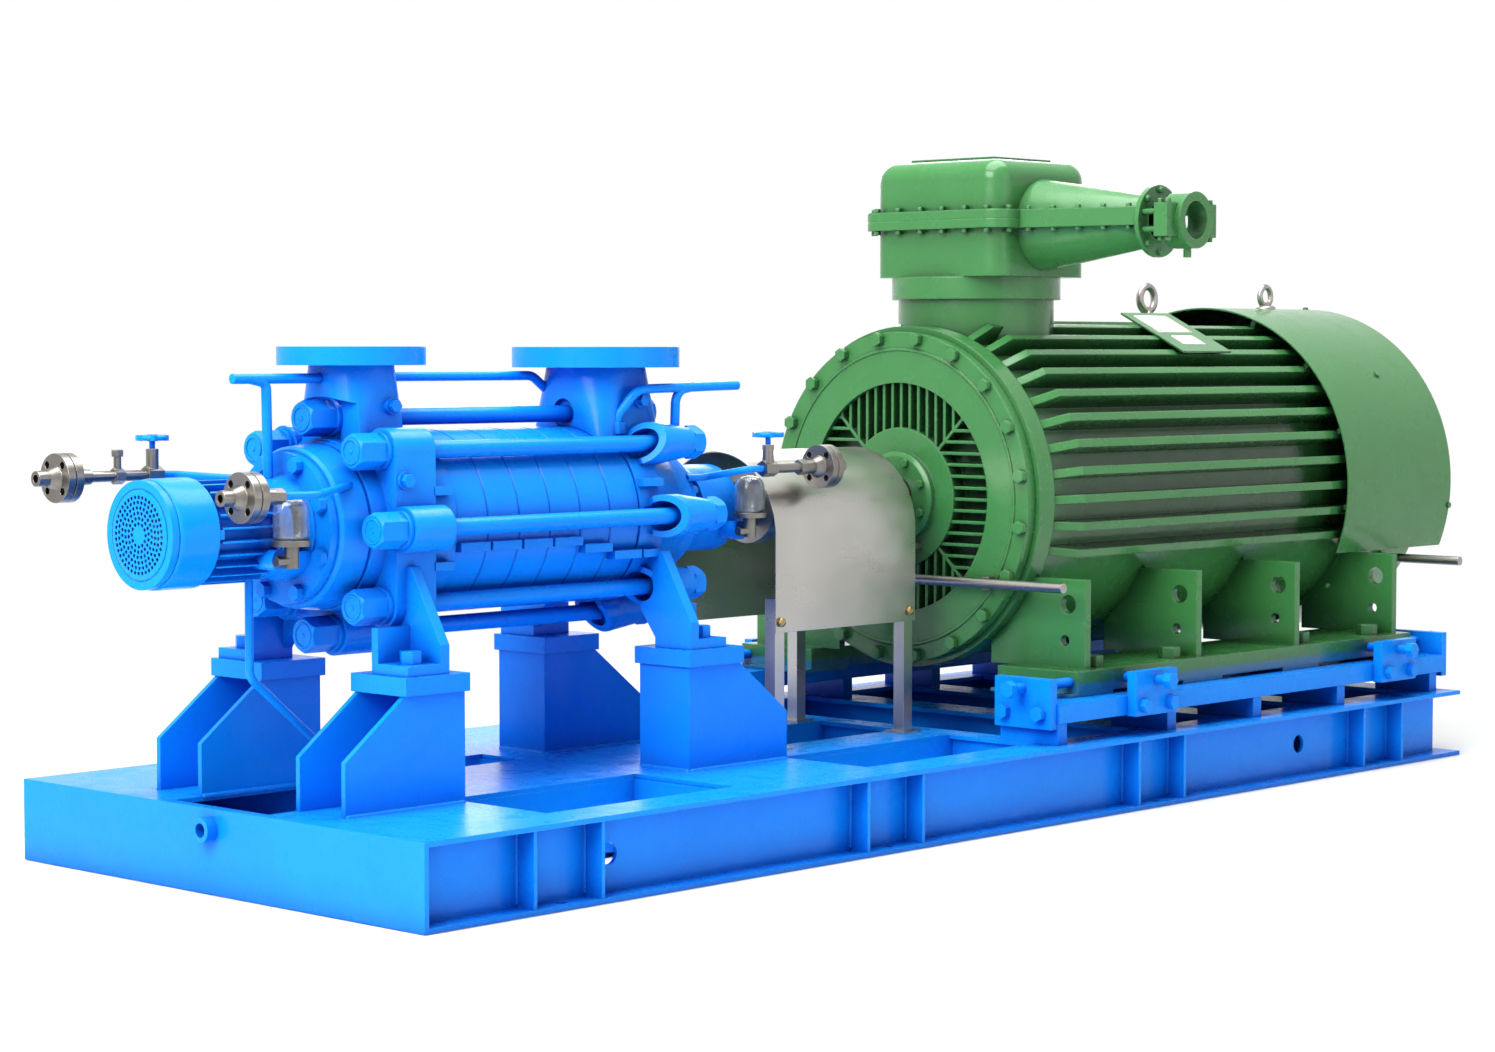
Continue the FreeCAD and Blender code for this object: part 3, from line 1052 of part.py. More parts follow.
# Rear hood: a wrapped sheet over the fins, and the fan housing with its inlet slots inside it
housing_radius = "motor_radius + 14"
fan_housing = turned([
    ("motor_end", f"{housing_radius} - 5"), ("motor_end", housing_radius), ("hood_end - 70", housing_radius),
    ("hood_end - 40", f"{housing_radius} - 30"), ("hood_end - 40", "0"), ("hood_end - 45", "0"),
    ("hood_end - 45", f"{housing_radius} - 32"), ("hood_end - 74", f"{housing_radius} - 5")], ("0", "0", "shaft_height"))
slots = []
for row in range(-8, 9):
    slots.append(box("60", f"2 * sqrt(max(300 ^ 2 - ({row} * 34) ^ 2; 400))", "16",
                     ("hood_end - 70", f"-sqrt(max(300 ^ 2 - ({row} * 34) ^ 2; 400))", f"shaft_height + {row} * 34 - 8")))
spine = box("80", "24", "700", ("hood_end - 80", "-12", "shaft_height - 350"))
hood = turned([
    ("hood_start", "hood_radius - hood_sheet"), ("hood_start", "hood_radius"), ("hood_end - 24", "hood_radius"),
    ("hood_end", "hood_radius - 24"), ("hood_end", housing_radius), ("hood_end - hood_sheet", housing_radius),
    ("hood_end - hood_sheet", "hood_radius - 26"), ("hood_end - 26", "hood_radius - hood_sheet")],
    ("0", "0", "shaft_height"))
below = box("hood_end", "3 * hood_radius", "hood_radius", ("hood_start - 100", "-1.5 * hood_radius", "80"))
spacers = []
for angle in fin_angles[1::3] + [180 - a for a in fin_angles[1::3]]:
    spacer = doc.addObject("Part::Box", "HoodSpacer")
    tied(spacer, ("hood_start + 24", f"-8 * sin({angle})", f"shaft_height - 8 * cos({angle})"),
         Turn(Vector(1, 0, 0), 180 - angle), Length="60", Width="hood_radius + 20", Height="16")
    spacers.append(spacer)
spacer_set = common(group(*spacers), ring("hood_start + 20", "80", "motor_fin_radius", "hood_radius - hood_sheet"))
rear_wall = ring("hood_end - 75", "5", housing_radius, "hood_radius - hood_sheet")
node("motor_hood", group(cut(fan_housing, cut(group(*slots), spine)), cut(fuse(hood, rear_wall, spacer_set), below)))


def motor_foot(side):
    """Foot plate along one side, with upright ribs up to the frame."""
    start = "rail_start + 180"
    length = "rail_length - 255"
    y = f"{side} * foot_reach" if side < 0 else "foot_reach - 280"
    slab = box(length, "280", "foot_depth", (start, y, "foot_bottom"))
    parts = [slab]
    holes = []
    for step in (63, 585, 1085, 1620):
        x = f"{start} + {step}"
        rib_y = f"{side} * (foot_reach - 15)" if side < 0 else "foot_reach - 15 - 330"
        parts.append(box("24", "330", "rib_height - foot_bottom - foot_depth",
                         (f"{x} - 12", rib_y, "foot_bottom + foot_depth")))
        parts.append(box("190", "280", "foot_bottom - rail_top", (f"{x} - 95", y, "rail_top")))
        for reach, level, radius in ((60, 70, 26), (70, 170, 15)):
            holes.append(cylinder(str(radius), "60", (f"{x} - 30", f"{side} * (foot_reach - 15 - {reach})",
                                                      f"rib_height - {level}"), "x"))
    barrel = cylinder("motor_radius", "motor_length + 200", ("motor_start - 100", "0", "shaft_height"), "x")
    face = cylinder("motor_flange_radius", "motor_flange_depth", ("motor_start", "0", "shaft_height"), "x")
    rear = cylinder("motor_radius + 14", "200", ("frame_end", "0", "shaft_height"), "x")
    return cut(fuse(*parts), barrel, face, rear, *holes)


node("motor_feet", group(motor_foot(-1), motor_foot(1)))


def jack(side, x):
    """Jacking block bolted on a rail edge, its screw against the foot edge."""
    face = f"{side} * rail_edge"
    block = box("190", "30", "123", (f"{x} - 95", face if side > 0 else "-rail_edge - 30", "rail_bottom - 3"))
    level = "foot_bottom + 30"
    screw_y = "foot_reach" if side > 0 else "-rail_edge - 62"
    hole = cylinder("14", "200", (x, f"{side} * rail_edge - 100", level), "y")
    screw = cylinder("14", "rail_edge + 62 - foot_reach", (x, screw_y, level), "y")
    head = hexagon("40", "24", (x, "rail_edge + 62" if side > 0 else "-rail_edge - 86", level), "y")
    heads = [hexagon("36", "20", (f"{x} + {shift}", "rail_edge + 30" if side > 0 else "-rail_edge - 50",
                                  "rail_bottom + 26"), "y") for shift in (-60, 60)]
    return [cut(block, hole), fuse(screw, head), *heads]


def end_jack(side, way):
    """Jacking block on the end of a rail, its screw against the end of the foot."""
    face = "rail_start - 28" if way < 0 else "rail_start + rail_length"
    y = f"{side} * (foot_reach - 28)"
    level = "foot_bottom + 30"
    block = box("28", "190", "135", (face, f"{y} - 95", "rail_bottom - 15"))
    start = "rail_start - 74" if way < 0 else "rail_start + rail_length - 75"
    length = "254" if way < 0 else "149"
    hole = cylinder("14", "400", (f"{start} - 60", y, level), "x")
    screw = cylinder("14", length, (start, y, level), "x")
    head_x = f"{start} - 24" if way < 0 else f"{start} + {length}"
    outer = "rail_start - 48" if way < 0 else "rail_start + rail_length + 28"
    heads = [hexagon("36", "20", (outer, f"{y} + {shift}", "rail_bottom + 26"), "x") for shift in (-60, 60)]
    return [cut(block, hole), fuse(screw, hexagon("40", "24", (head_x, y, level), "x")), *heads]


jacks = []
for side in (-1, 1):
    for x in ("rail_start + 398", "rail_start + 1637"):
        jacks += jack(side, x)
    for way in (-1, 1):
        jacks += end_jack(side, way)
node("jacking_blocks", group(*jacks))

# Terminal box


def upright(edge):
    reach = edge.BoundBox
    return reach.ZLength > 5 and reach.XLength < 0.01 and reach.YLength < 0.01


def box_form(shift, depth, level, corner):
    """Rounded rectangle in plan, offset from the terminal box wall by the shift."""
    half = f"(box_half + {shift})"
    near = f"-(box_near + {shift})"
    far = f"(box_far + {shift})"
    form = plate([(f"-{half}", near), (half, near), (half, far), (f"-{half}", far)], depth, "xy", ("box_x", "0", level))
    return rounded(form, corner, upright)


lower = fuse(
    cut(cylinder("neck_radius", "box_floor - shaft_height - 200", ("box_x", "0", "shaft_height + 200")),
        cylinder("motor_radius", "2000", ("0", "0", "shaft_height"), "x")),
    cylinder("collar_radius", "64", ("box_x", "0", "box_floor - 64")),
    box_form("0", "box_joint - box_flange_depth - box_floor", "box_floor", "box_corner"),
    box_form("box_flange_reach", "box_flange_depth", "box_joint - box_flange_depth", "box_corner"),
)
cable_way = cone("cone_root - 12", "cone_tip - 10", "cone_length + 20", ("box_x", "-box_near + 20", "box_joint - 14"), "y")
cable_way.Placement.Rotation = Turn(Vector(1, 0, 0), 90)
node("terminal_box", cut(
    lower,
    box_form("-box_wall", "box_joint - box_floor", "box_floor + box_wall", "box_corner - box_wall"),
    cylinder("neck_radius - 60", "box_floor - 1250", ("box_x", "0", "1270")),
    cable_way,
))

dome = box_form("0", "box_top - box_joint", "box_joint", "box_corner")
rounded(dome, "box_corner - 8", lambda edge: edge.BoundBox.ZMin > 0.99 * edge.BoundBox.ZMax and edge.BoundBox.ZMin > 10)
lid_plate = box("1.25 * box_half", "box_near + box_far - 170", "9", ("box_x - 0.625 * box_half", "-box_near + 85", "box_top"))
inside = box_form("-box_wall", "box_top - box_joint - box_wall + 10", "box_joint - 10", "box_corner - box_wall")
rounded(inside, "box_corner - 8 - box_wall", lambda edge: edge.BoundBox.ZMin > 0.99 * edge.BoundBox.ZMax and edge.BoundBox.ZMin > 10)
node("terminal_box_lid", cut(
    fuse(dome, lid_plate, box_form("box_flange_reach", "box_flange_depth", "box_joint", "box_corner")),
    inside, cable_way,
))

cone_form = cone("cone_root", "cone_tip", "cone_length", ("box_x", "-box_near", "box_joint - 14"), "y")
cone_form.Placement.Rotation = Turn(Vector(1, 0, 0), 90)
strip = plate([("-cone_root - 20", "-box_near - box_flange_reach"), ("-cone_tip - 24", "-box_near - cone_length"),
               ("cone_tip + 24", "-box_near - cone_length"), ("cone_root + 20", "-box_near - box_flange_reach")],
              "2 * box_flange_depth", "xy", ("box_x", "0", "box_joint - box_flange_depth"))
cone_face = "-box_near - cone_length - 14"
tip_flange = cylinder("cone_tip + 31", "14", ("box_x", cone_face, "box_joint - 14"), "y")
box_skin = fuse(box_form("box_flange_reach", "2 * box_flange_depth", "box_joint - box_flange_depth", "box_corner"),
                box_form("0", "box_top - box_floor", "box_floor", "box_corner"))
node("cable_cone", cut(
    cut(fuse(cone_form, strip, tip_flange), box_skin), cable_way,
    cylinder("cable_bore", "cone_length", ("box_x", f"{cone_face} - 20", "box_joint - 14"), "y")))

clamp_y = f"{cone_face} - clamp_gap - clamp_depth"
clamp_parts = [
    cylinder("clamp_radius", "clamp_depth", ("box_x", clamp_y, "box_joint - 14"), "y"),
    box("2 * clamp_radius + 76", "44", "92", ("box_x - clamp_radius - 38", f"{clamp_y} + 16", "box_joint - 60")),
    cylinder("11", "30", ("box_x", f"{clamp_y} + 30", "box_joint - 14 - clamp_radius - 24")),
]
for side in (-1, 1):
    for level in (-24, 24):
        clamp_parts.append(cylinder("8", "clamp_gap + 40", ("box_x + {} * (clamp_radius - 2)".format(side),
                                                            f"{cone_face} - clamp_gap - 40",
                                                            f"box_joint - 14 + {level}"), "y"))
node("cable_clamp", cut(fuse(*clamp_parts),
                        cylinder("cable_bore", "200", ("box_x", f"{clamp_y} - 40", "box_joint - 14"), "y")))


def lifting_eye(x, seat, stand):
    """Ring bolt whose collar stands on a round surface of the given radius."""
    stem = cylinder("20", f"{stand} - 4", (x, "0", f"shaft_height + {seat} - 20"))
    foot_disc = cylinder("32", "34", (x, "0", f"shaft_height + {seat} - 20"))
    eye = ring_torus("26", "8.5", (x, "0", f"shaft_height + {seat} + {stand}"), "y")
    return cut(fuse(stem, foot_disc, eye), cylinder(seat, "2400", ("0", "0", "shaft_height"), "x"))


node("lifting_eyes", group(lifting_eye("motor_start + 1185", "motor_radius", 126),
                           lifting_eye("motor_end + 171", "hood_radius", 36)))

plate_angle = fin_angles[-2]
name_plate = doc.addObject("Part::Box", "NamePlate")
tied(name_plate, ("motor_start + 890",
                  f"-(motor_fin_radius + part_gap) * cos({plate_angle}) - 130 * sin({plate_angle})",
                  f"shaft_height + (motor_fin_radius + part_gap) * sin({plate_angle}) - 130 * cos({plate_angle})"),
     Turn(Vector(1, 0, 0), 90 - plate_angle), Length="243", Width="260", Height="6")
node("nameplate_bracket", name_plate)

heads = [hexagon("34", "20", on_circle("motor_bolt_circle", angle, "motor_start - 20"), "x")
         for angle in around(size["motor_bolts"], 9)]
heads += [hexagon("22", "12", on_circle("bearing_cap_radius - 24", angle, "motor_start - 26"), "x")
          for angle in around(8, 22.5)]
for side in (-1, 1):
    for step in (323, 685, 1345, 1720):
        heads.append(hexagon("55", "32", (f"rail_start + {step}", f"{side} * (foot_reach - 62)",
                                          "foot_bottom + foot_depth")))
lid_spots = []
for share in (-0.86, -0.52, -0.17, 0.17, 0.52, 0.86):
    lid_spots.append((f"box_x + {share} * box_half", "box_far + box_flange_reach / 2"))
    for way in (-1, 1):
        lid_spots.append((f"box_x + {way} * (box_half + box_flange_reach / 2)",
                          f"(box_far - box_near) / 2 + {share} * (box_near + box_far) / 2"))
for way in (-1, 1):
    lid_spots.append((f"box_x + {way} * 0.86 * box_half", "-box_near - box_flange_reach / 2"))
for x, y in lid_spots:
    heads.append(hexagon("17", "12", (x, y, "box_joint + box_flange_depth")))
    heads.append(hexagon("17", "12", (x, y, "box_joint - box_flange_depth - 12")))
node("motor_bolts", group(*heads))

hub_level = now.shaft_height - 138
pipe_level = now.shaft_height - 228
pipe_x = now.motor_start - 36
front_pipe = pipe([Vector(now.motor_start + 8, -70, hub_level), Vector(pipe_x, -70, hub_level),
                   Vector(pipe_x, -70, pipe_level), Vector(pipe_x, -622, pipe_level)], 14, 17)
clip = box("26", "24", "36", ("motor_start - 26", "-352", "shaft_height - 246"))
rear_pipe = cylinder("14", "292", ("motor_end + 210", "-708", "shaft_height - 240"), "y")
fan_cover = cylinder(housing_radius, "1000", ("motor_end", "0", "shaft_height"), "x")
node("grease_pipes", group(fuse(shaped(front_pipe), clip), cut(rear_pipe, fan_cover)))

# Oilers


def oiler(x, level, boss_y, radius):
    """Constant-level oiler base: a pipe from the bearing boss, an elbow body and a rimmed cup."""
    inlet = cylinder("10", f"oiler_reach - ({boss_y})", (x, "-oiler_reach", level), "y")
    body = cylinder("17", "51", (x, "-oiler_reach", f"{level} - 16"))
    plug = hexagon("22", "34", (f"{x} - 45", "-oiler_reach", level), "x")
    cup = cylinder(f"{radius} + 4", "13", (x, "-oiler_reach", f"{level} + 35"))
    recess = cylinder(f"{radius} + 1", "20", (x, "-oiler_reach", f"{level} + 41"))
    return cut(fuse(inlet, body, plug, cup), recess)


def bottle(x, level, radius, height):
    """Glass bottle standing on its cup, domed at the top."""
    start = f"{level} + 41 + part_gap"
    glass = turned([("0", "0"), ("0", radius), (f"{height} - 22", radius), (f"{height} - 8", f"{radius} - 10"),
                    (f"{height} - 8", "14"), (height, "12"), (height, "0")], (x, "-oiler_reach", start), "z")
    return glass


NDE_OILER = ("nde_oiler_x", "shaft_height - 64")
DE_OILER = ("de_oiler_x", "shaft_height - 56")
node("oiler_bases", group(oiler(*NDE_OILER, "housing_radius + 45", "nde_bottle_radius"),
                          oiler(*DE_OILER, "de_housing_radius + 40", "de_bottle_radius")))
node("oiler_bottle_nde", bottle(*NDE_OILER, "nde_bottle_radius", "nde_bottle_height"))
node("oiler_bottle_de", bottle(*DE_OILER, "de_bottle_radius", "de_bottle_height"))

# Seal flushing pipes with their steel flanges and valves


def steel_flange(x, y, level, way):
    """Weld-neck flange with four bolt holes; way is the side its neck points to."""
    points = [("0", "steel_bore"), ("0", "steel_flange_radius"), ("steel_flange_depth", "steel_flange_radius"),
              ("steel_flange_depth", "30"), ("steel_flange_depth + 22", "19"), ("steel_flange_depth + 52", "18"),
              ("steel_flange_depth + 52", "steel_bore")]
    body = turned(points, (x, y, level), "x" if way > 0 else "-x")
    start = f"{x} - 5" if way > 0 else f"{x} - steel_flange_depth - 5"
    holes = [cylinder("steel_bolt_radius", "steel_flange_depth + 10",
                      (start, f"{y} + steel_bolt_circle / 2 * cos({angle})",
                       f"{level} + steel_bolt_circle / 2 * sin({angle})"), "x") for angle in around(4, 45)]
    return cut(body, *holes)


def flange_pair(x, y, level):
    """Two flanges face to face on a gasket, the open neck towards the pump end."""
    gasket = cylinder("steel_flange_radius - 14", "3", (f"{x}", y, level), "x")
    gasket = cut(gasket, cylinder("steel_bore", "20", (f"{x} - 5", y, level), "x"))
    return [steel_flange(x, y, level, -1), gasket, steel_flange(f"{x} + 3", y, level, 1)]


PAIR_END = 3 + now.steel_flange_depth + 52
near_y = -now.flush_reach
near_x = now.housing_end - 22
near_z = now.shaft_height + 89
rim_x = now.casing_start - 20
rim_y = 150
rim_z = now.shaft_height + 104
near_pipe = pipe([Vector(near_x + PAIR_END + 26, near_y, near_z), Vector(now.nde_bracket_end - 10, near_y, near_z),
                  Vector(rim_x, -rim_y, rim_z)], 9, 30)
near_union = hexagon("32", "26", (str(near_x + PAIR_END), str(near_y), str(near_z)), "x")
far_x = now.housing_end - 128
far_z = now.shaft_height + 121
valve_x = now.housing_end + 127
left_run = cylinder("flush_radius", f"{valve_x - 22 - far_x - PAIR_END}", (str(far_x + PAIR_END), "300", str(far_z)), "x")
stub = fuse(left_run, cylinder("9", "46", (str(valve_x - 100), "300", str(far_z))),
            hexagon("26", "16", (str(valve_x - 100), "300", str(far_z + 46))),
            hexagon("34", "26", (str(valve_x - 113), "300", str(far_z)), "x"))
right_pipe = pipe([Vector(valve_x + 22, 300, far_z), Vector(valve_x + 62, 300, far_z), Vector(rim_x, rim_y, rim_z)], 9, 30)
near_pair = flange_pair(str(near_x), str(near_y), str(near_z))
node("flush_piping_nde", group(*near_pair[:2], fuse(near_pair[2], near_union), *flange_pair(str(far_x), "300", str(far_z)), stub))

de_z = now.shaft_height + 109
de_valve_x = now.de_lantern_end + 74
de_pair_x = now.guard_start + 150
de_left = pipe([Vector(now.de_cover_face - 5, -137, now.shaft_height + 86), Vector(now.de_cover_face + 60, -137, now.shaft_height + 86),
                Vector(de_valve_x - 75, near_y, de_z), Vector(de_valve_x - 22, near_y, de_z)], 9, 30)
de_right = fuse(cylinder("flush_radius", f"{de_pair_x - 72 - de_valve_x - 22}",
                         (str(de_valve_x + 22), str(near_y), str(de_z)), "x"),
                hexagon("36", "26", (str(de_pair_x - 98), str(near_y), str(de_z)), "x"))
pair = flange_pair(str(de_pair_x), str(near_y), str(de_z))
node("flush_piping_de", group(fuse(pair[0], de_right), *pair[1:]))


def valve_body(x, y, level):
    """Small globe valve: hexagon body, bonnet, and the chamber for its plug."""
    block = hexagon("38", "44", (f"{x} - 22", y, level), "x")
    bonnet = cylinder("15", "62", (x, y, level))
    gland = hexagon("27", "14", (x, y, f"{level} + 48"))
    chamber = cylinder("9", "30", (x, y, f"{level} - 6"))
    bore = cylinder("stem_radius + running_gap", "60", (x, y, f"{level} + 20"))
    return cut(fuse(block, bonnet, gland), chamber, bore)


def valve_plug(x, y, level):
    return cylinder("8.6", "15.4", (x, y, f"{level} - 6 + part_gap"))


def handwheel(x, y, level):
    """Stem and lobed handwheel."""
    stem = cylinder("stem_radius", "78", (x, y, f"{level} + 10"))
    rim = ring_torus("wheel_radius - 7", "6.5", (x, y, f"{level} + 88"))
    hub = cylinder("13", "16", (x, y, f"{level} + 80"))
    parts = [stem, rim, hub]
    for angle in around(6):
        parts.append(cylinder("8", "13", (f"{x} + (wheel_radius - 6) * cos({angle})",
                                          f"{y} + (wheel_radius - 6) * sin({angle})", f"{level} + 81.5")))
    for angle in around(3):
        spoke = doc.addObject("Part::Box", "Spoke")
        tied(spoke, (f"{x} + 3.5 * sin({angle})", f"{y} - 3.5 * cos({angle})", f"{level} + 84"),
             Turn(Vector(0, 0, 1), angle), Length="wheel_radius - 8",
             Width="7", Height="8")
        parts.append(spoke)
    return fuse(*parts)


FAR_VALVE = (str(valve_x), "300", str(far_z))
DE_VALVE = (str(de_valve_x), str(near_y), str(de_z))
node("valve_bodies", group(valve_body(*FAR_VALVE), valve_body(*DE_VALVE)))
node("valve_plug_nde", valve_plug(*FAR_VALVE))
node("valve_plug_de", valve_plug(*DE_VALVE))
node("handwheel_nde", handwheel(*FAR_VALVE))
node("handwheel_de", handwheel(*DE_VALVE))

# Casing pipes: balance line, vent line, riser with its branch, and drain
line = 12
balance = pipe([Vector(now.discharge_nozzle_x + 41, 80, now.nozzle_face - 73),
                Vector(now.last_joint - 85, 80, now.nozzle_face - 73),
                Vector(now.last_joint + 23, 80, now.nozzle_face - 150),
                Vector(now.last_joint + 23, 80, now.shaft_height + 198)], line, 50)
vent_level = now.shaft_height + 350
vent = pipe([Vector(now.housing_end + 134, 0, vent_level), Vector(now.discharge_nozzle_x - 85, 0, vent_level)], line, 20)
vent_drop = pipe([Vector(now.nde_bracket_end - 5, 0, vent_level), Vector(now.nde_bracket_end + 43, 0, vent_level - 10),
                  Vector(now.nde_bracket_end + 47, 0, now.shaft_height + now.fin_radius - 10)], line, 20)
riser_y = -130
riser = pipe([Vector(now.last_joint + 15, riser_y, now.shaft_height + 140),
              Vector(now.last_joint + 15, riser_y, now.shaft_height + 250),
              Vector(now.last_joint + 50, riser_y - 35, now.shaft_height + 318),
              Vector(now.casing_end + 190, riser_y - 35, now.shaft_height + 325)], line, 45)
branch = pipe([Vector(now.casing_end + 26, riser_y - 35, now.shaft_height + 323),
               Vector(now.casing_end - 38, riser_y - 35, now.shaft_height + 312),
               Vector(now.casing_end - 42, riser_y - 35, now.shaft_height + 217)], line, 40)
drain = pipe([Vector(now.nde_bracket_end - 12, 0, now.shaft_height - now.housing_radius + 4),
              Vector(now.nde_bracket_end - 12, 0, now.shaft_height - 344),
              Vector(now.nde_bracket_end + 181, 0, now.shaft_height - 508),
              Vector(now.nde_bracket_end + 246, 0, now.base_height + 12)], 10, 40)
casings = group(*[nodes[label] for label in ("discharge_casing", "suction_casing", "nde_bearing_housing",
                                             "nde_bearing_bracket", "seal_covers")])
hex_union = hexagon("34", "30", ("last_joint + 15", str(riser_y), "shaft_height + 205"))
lines = cut(group(shaped(balance), fuse(shaped(vent), shaped(vent_drop)),
                  fuse(shaped(riser), shaped(branch), hex_union), shaped(drain),
                  shaped(near_pipe), shaped(right_pipe), shaped(de_left)), casings)
node("casing_pipes", lines)


doc.recompute()
faulty = [item.Label for item in doc.Objects if {"Invalid", "Error"} & set(item.State)]
faulty += [label for label, item in nodes.items() if item.Shape.isNull() or not item.Shape.isValid()]
if faulty:
    raise SystemExit("not built: " + ", ".join(faulty))
os.makedirs("parts", exist_ok=True)
for label, item in nodes.items():
    item.Shape.exportStep(f"parts/{label}.step")
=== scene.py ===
import json
import math

import bmesh
import bpy
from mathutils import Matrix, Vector


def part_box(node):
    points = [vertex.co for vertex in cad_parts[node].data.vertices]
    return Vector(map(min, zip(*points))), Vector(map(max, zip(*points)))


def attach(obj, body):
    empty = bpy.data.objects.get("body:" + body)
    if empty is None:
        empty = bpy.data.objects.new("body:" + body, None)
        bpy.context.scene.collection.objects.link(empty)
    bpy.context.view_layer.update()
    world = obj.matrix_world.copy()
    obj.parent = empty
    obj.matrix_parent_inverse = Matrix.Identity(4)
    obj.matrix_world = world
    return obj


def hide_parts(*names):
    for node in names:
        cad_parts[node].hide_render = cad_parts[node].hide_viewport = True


# Ring-section pump with its motor on a welded base, photographed from the pump end.
# Metres, in the frame of the CAD model: +X from pump to motor, +Y away from the oilers, +Z up.

# Camera, as solved from the photograph
CAMERA_AT = (-6.58875, -5.91125, 1.25)
CAMERA_TURN = (86.8794, 0.0, -46.7054)
CAMERA_LENS = 76.855
CAMERA_REACH = 200.0
SENSOR_WIDTH = 36.0

# Lamps: name, place, aim, size, watts and tint
WHITE = (1.0, 1.0, 1.0)
LAMPS = (
    ("key", (-6.5, -1.0, 4.4), (-0.6, 0.0, 0.8), (5.0, 4.0), 600.0, (1.0, 0.99, 0.97)),
    ("top", (0.0, -0.3, 6.0), (0.0, 0.0, 0.8), (7.0, 4.0), 560.0, WHITE),
    ("fill", (1.5, -7.0, 2.2), (0.4, 0.0, 0.7), (6.0, 3.0), 45.0, (0.97, 0.985, 1.0)),
    ("rim", (4.5, 4.5, 3.5), (0.5, 0.0, 1.0), (4.0, 3.0), 160.0, WHITE),
)

# Studio light as (height, grey), and the floor's way from shadow to white
STUDIO_SHADES = ((0.0, 0.16), (0.46, 0.32), (0.56, 0.80), (1.0, 1.0))
STUDIO_BLUE = 1.02
STUDIO_LIGHT = 0.27
FLOOR_RADIUS = 60.0
FLOOR_Z = -0.002
WHITE_FROM = 2.6
WHITE_FULL = 4.6
SHADOW_HALVES = (("X", 2.10), ("Y", 0.60))
SHADOW_FADE = 0.55
WHITE_BESIDE = 0.5

# Colours, linear
BLUE = (0.003, 0.268, 0.93)
# Darker coat of the blue, and its painted shade in corners and gaps
BLUE_DEEP = (0.0005, 0.040, 0.40)
# Lighter blue of rubbed paint on edges and in patches, also the painted edge highlight
BLUE_WORN_AND_HIGHLIGHT = (0.02, 0.40, 0.98)
GREEN = (0.047, 0.212, 0.057)
# Darker coat of the green, and its painted shade in corners and gaps, deepest between the fins
GREEN_DEEP = (0.005, 0.026, 0.008)
# Lighter green of rubbed paint on edges and in patches, also the painted edge highlight
GREEN_WORN_AND_HIGHLIGHT = (0.13, 0.36, 0.15)
OVERSPRAY = (0.01, 0.14, 0.36)
DUST = (0.55, 0.52, 0.46)
STEEL = (0.52, 0.505, 0.475)
STEEL_DARK = (0.30, 0.285, 0.27)
# Painted highlight on the edges of bare and sheet metal
STEEL_EDGE_HIGHLIGHT = (0.80, 0.79, 0.77)
FITTING = (0.27, 0.255, 0.235)
FITTING_DARK = (0.09, 0.08, 0.07)
TURNED = (0.40, 0.39, 0.37)
TURNED_DARK = (0.16, 0.15, 0.14)
FORGED = (0.42, 0.405, 0.38)
FORGED_DARK = (0.16, 0.14, 0.12)
BEARING = (0.55, 0.52, 0.46)
BEARING_DARK = (0.25, 0.22, 0.18)
ALLOY = (0.80, 0.79, 0.78)
ALLOY_DARK = (0.55, 0.54, 0.52)
BRASS = (0.42, 0.29, 0.12)
BRASS_DARK = (0.16, 0.10, 0.04)
GREY_IRON = (0.16, 0.155, 0.15)
RUST = (0.20, 0.10, 0.05)
BLACK_PLASTIC = (0.022, 0.022, 0.024)
PLASTIC_RUBBED = (0.05, 0.05, 0.052)
GLASS = (0.78, 0.83, 0.85)
OIL_HAZE = (0.62, 0.64, 0.62)
PALE_FLOOR = (0.86, 0.87, 0.88)
PALER_FLOOR = (0.88, 0.885, 0.89)

# Edge wear and painted edge highlights, painted shade in corners and gaps, overspray, and how far a metal's
# grain is drawn out along X, Y and Z
EDGE_COSINE = 0.86
CREVICE_OPEN = 0.85
CREVICE_CLOSED = 0.25
OVERSPRAY_TOP = 0.352
OVERSPRAY_FULL = 0.338
METAL_EDGE = 0.0015
# Share of the painted highlight on metal edges
METAL_EDGE_HIGHLIGHT = 0.35
DRAWN = (1.0, 6.0, 6.0)
SPUN = (8.0, 1.0, 1.0)
EVEN = (1.0, 1.0, 1.0)

# Places on the CAD model
SHAFT_Z = 0.838
DECK_Z = 0.200
WEB_Y = 0.690
PEDESTALS = (((-2.010, -1.650), -1.650), ((-0.901, -0.541), -0.901))  # ends, and the closed one, along X
PEDESTAL_Y = 0.265
PEDESTAL_HALF = 0.088
STIFFENER_X = (-1.6875, -0.5625, 0.5625, 1.6875)
STIFFENER_SHIFTS = (-0.105, 0.105)
STIFFENER_FACES = (-0.006, 0.006)
STIFFENER_Z = (0.014, 0.186)
ROD_COUNT = 8
ROD_NUT_X = -1.845
ROD_CIRCLE = 0.256
MOTOR_FACE_X = 0.310
HOOD_RADIUS = 0.552
HOOD_SCREWS = (  # X, and degrees round the shaft
    (1.815, -34), (1.815, 214), (2.120, 38), (2.120, 142), (2.375, -8), (2.375, 188), (2.375, 90),
)
CONE_X = 0.657
CONE_Z = 1.612
STRIP_Z = (1.600, 1.652)
STRIP_ROOT_Y = -0.279
STRIP_ROOT_HALF = 0.151
STRIP_NARROWING = 0.058
STRIP_LENGTH = 0.361
TIP_FACE_Y = -0.654
CLAMP_Z = (1.566, 1.658)
LIFTING_EYES = ((1.495, 1.304, 1.4645, 0.0375), (2.141, 1.390, 1.470, 0.030))  # X, seat, crown, ring radius
PLATE_CORNER = (1.200, -0.3501, 1.2468)
PLATE_TILT = math.radians(26.6)
BRACKET_SHEET = 0.006
GUARD_SCREW_X = (-0.421, 0.100)
GUARD_SCREW_Y = 0.226
GUARD_SCREW_Z = 0.538

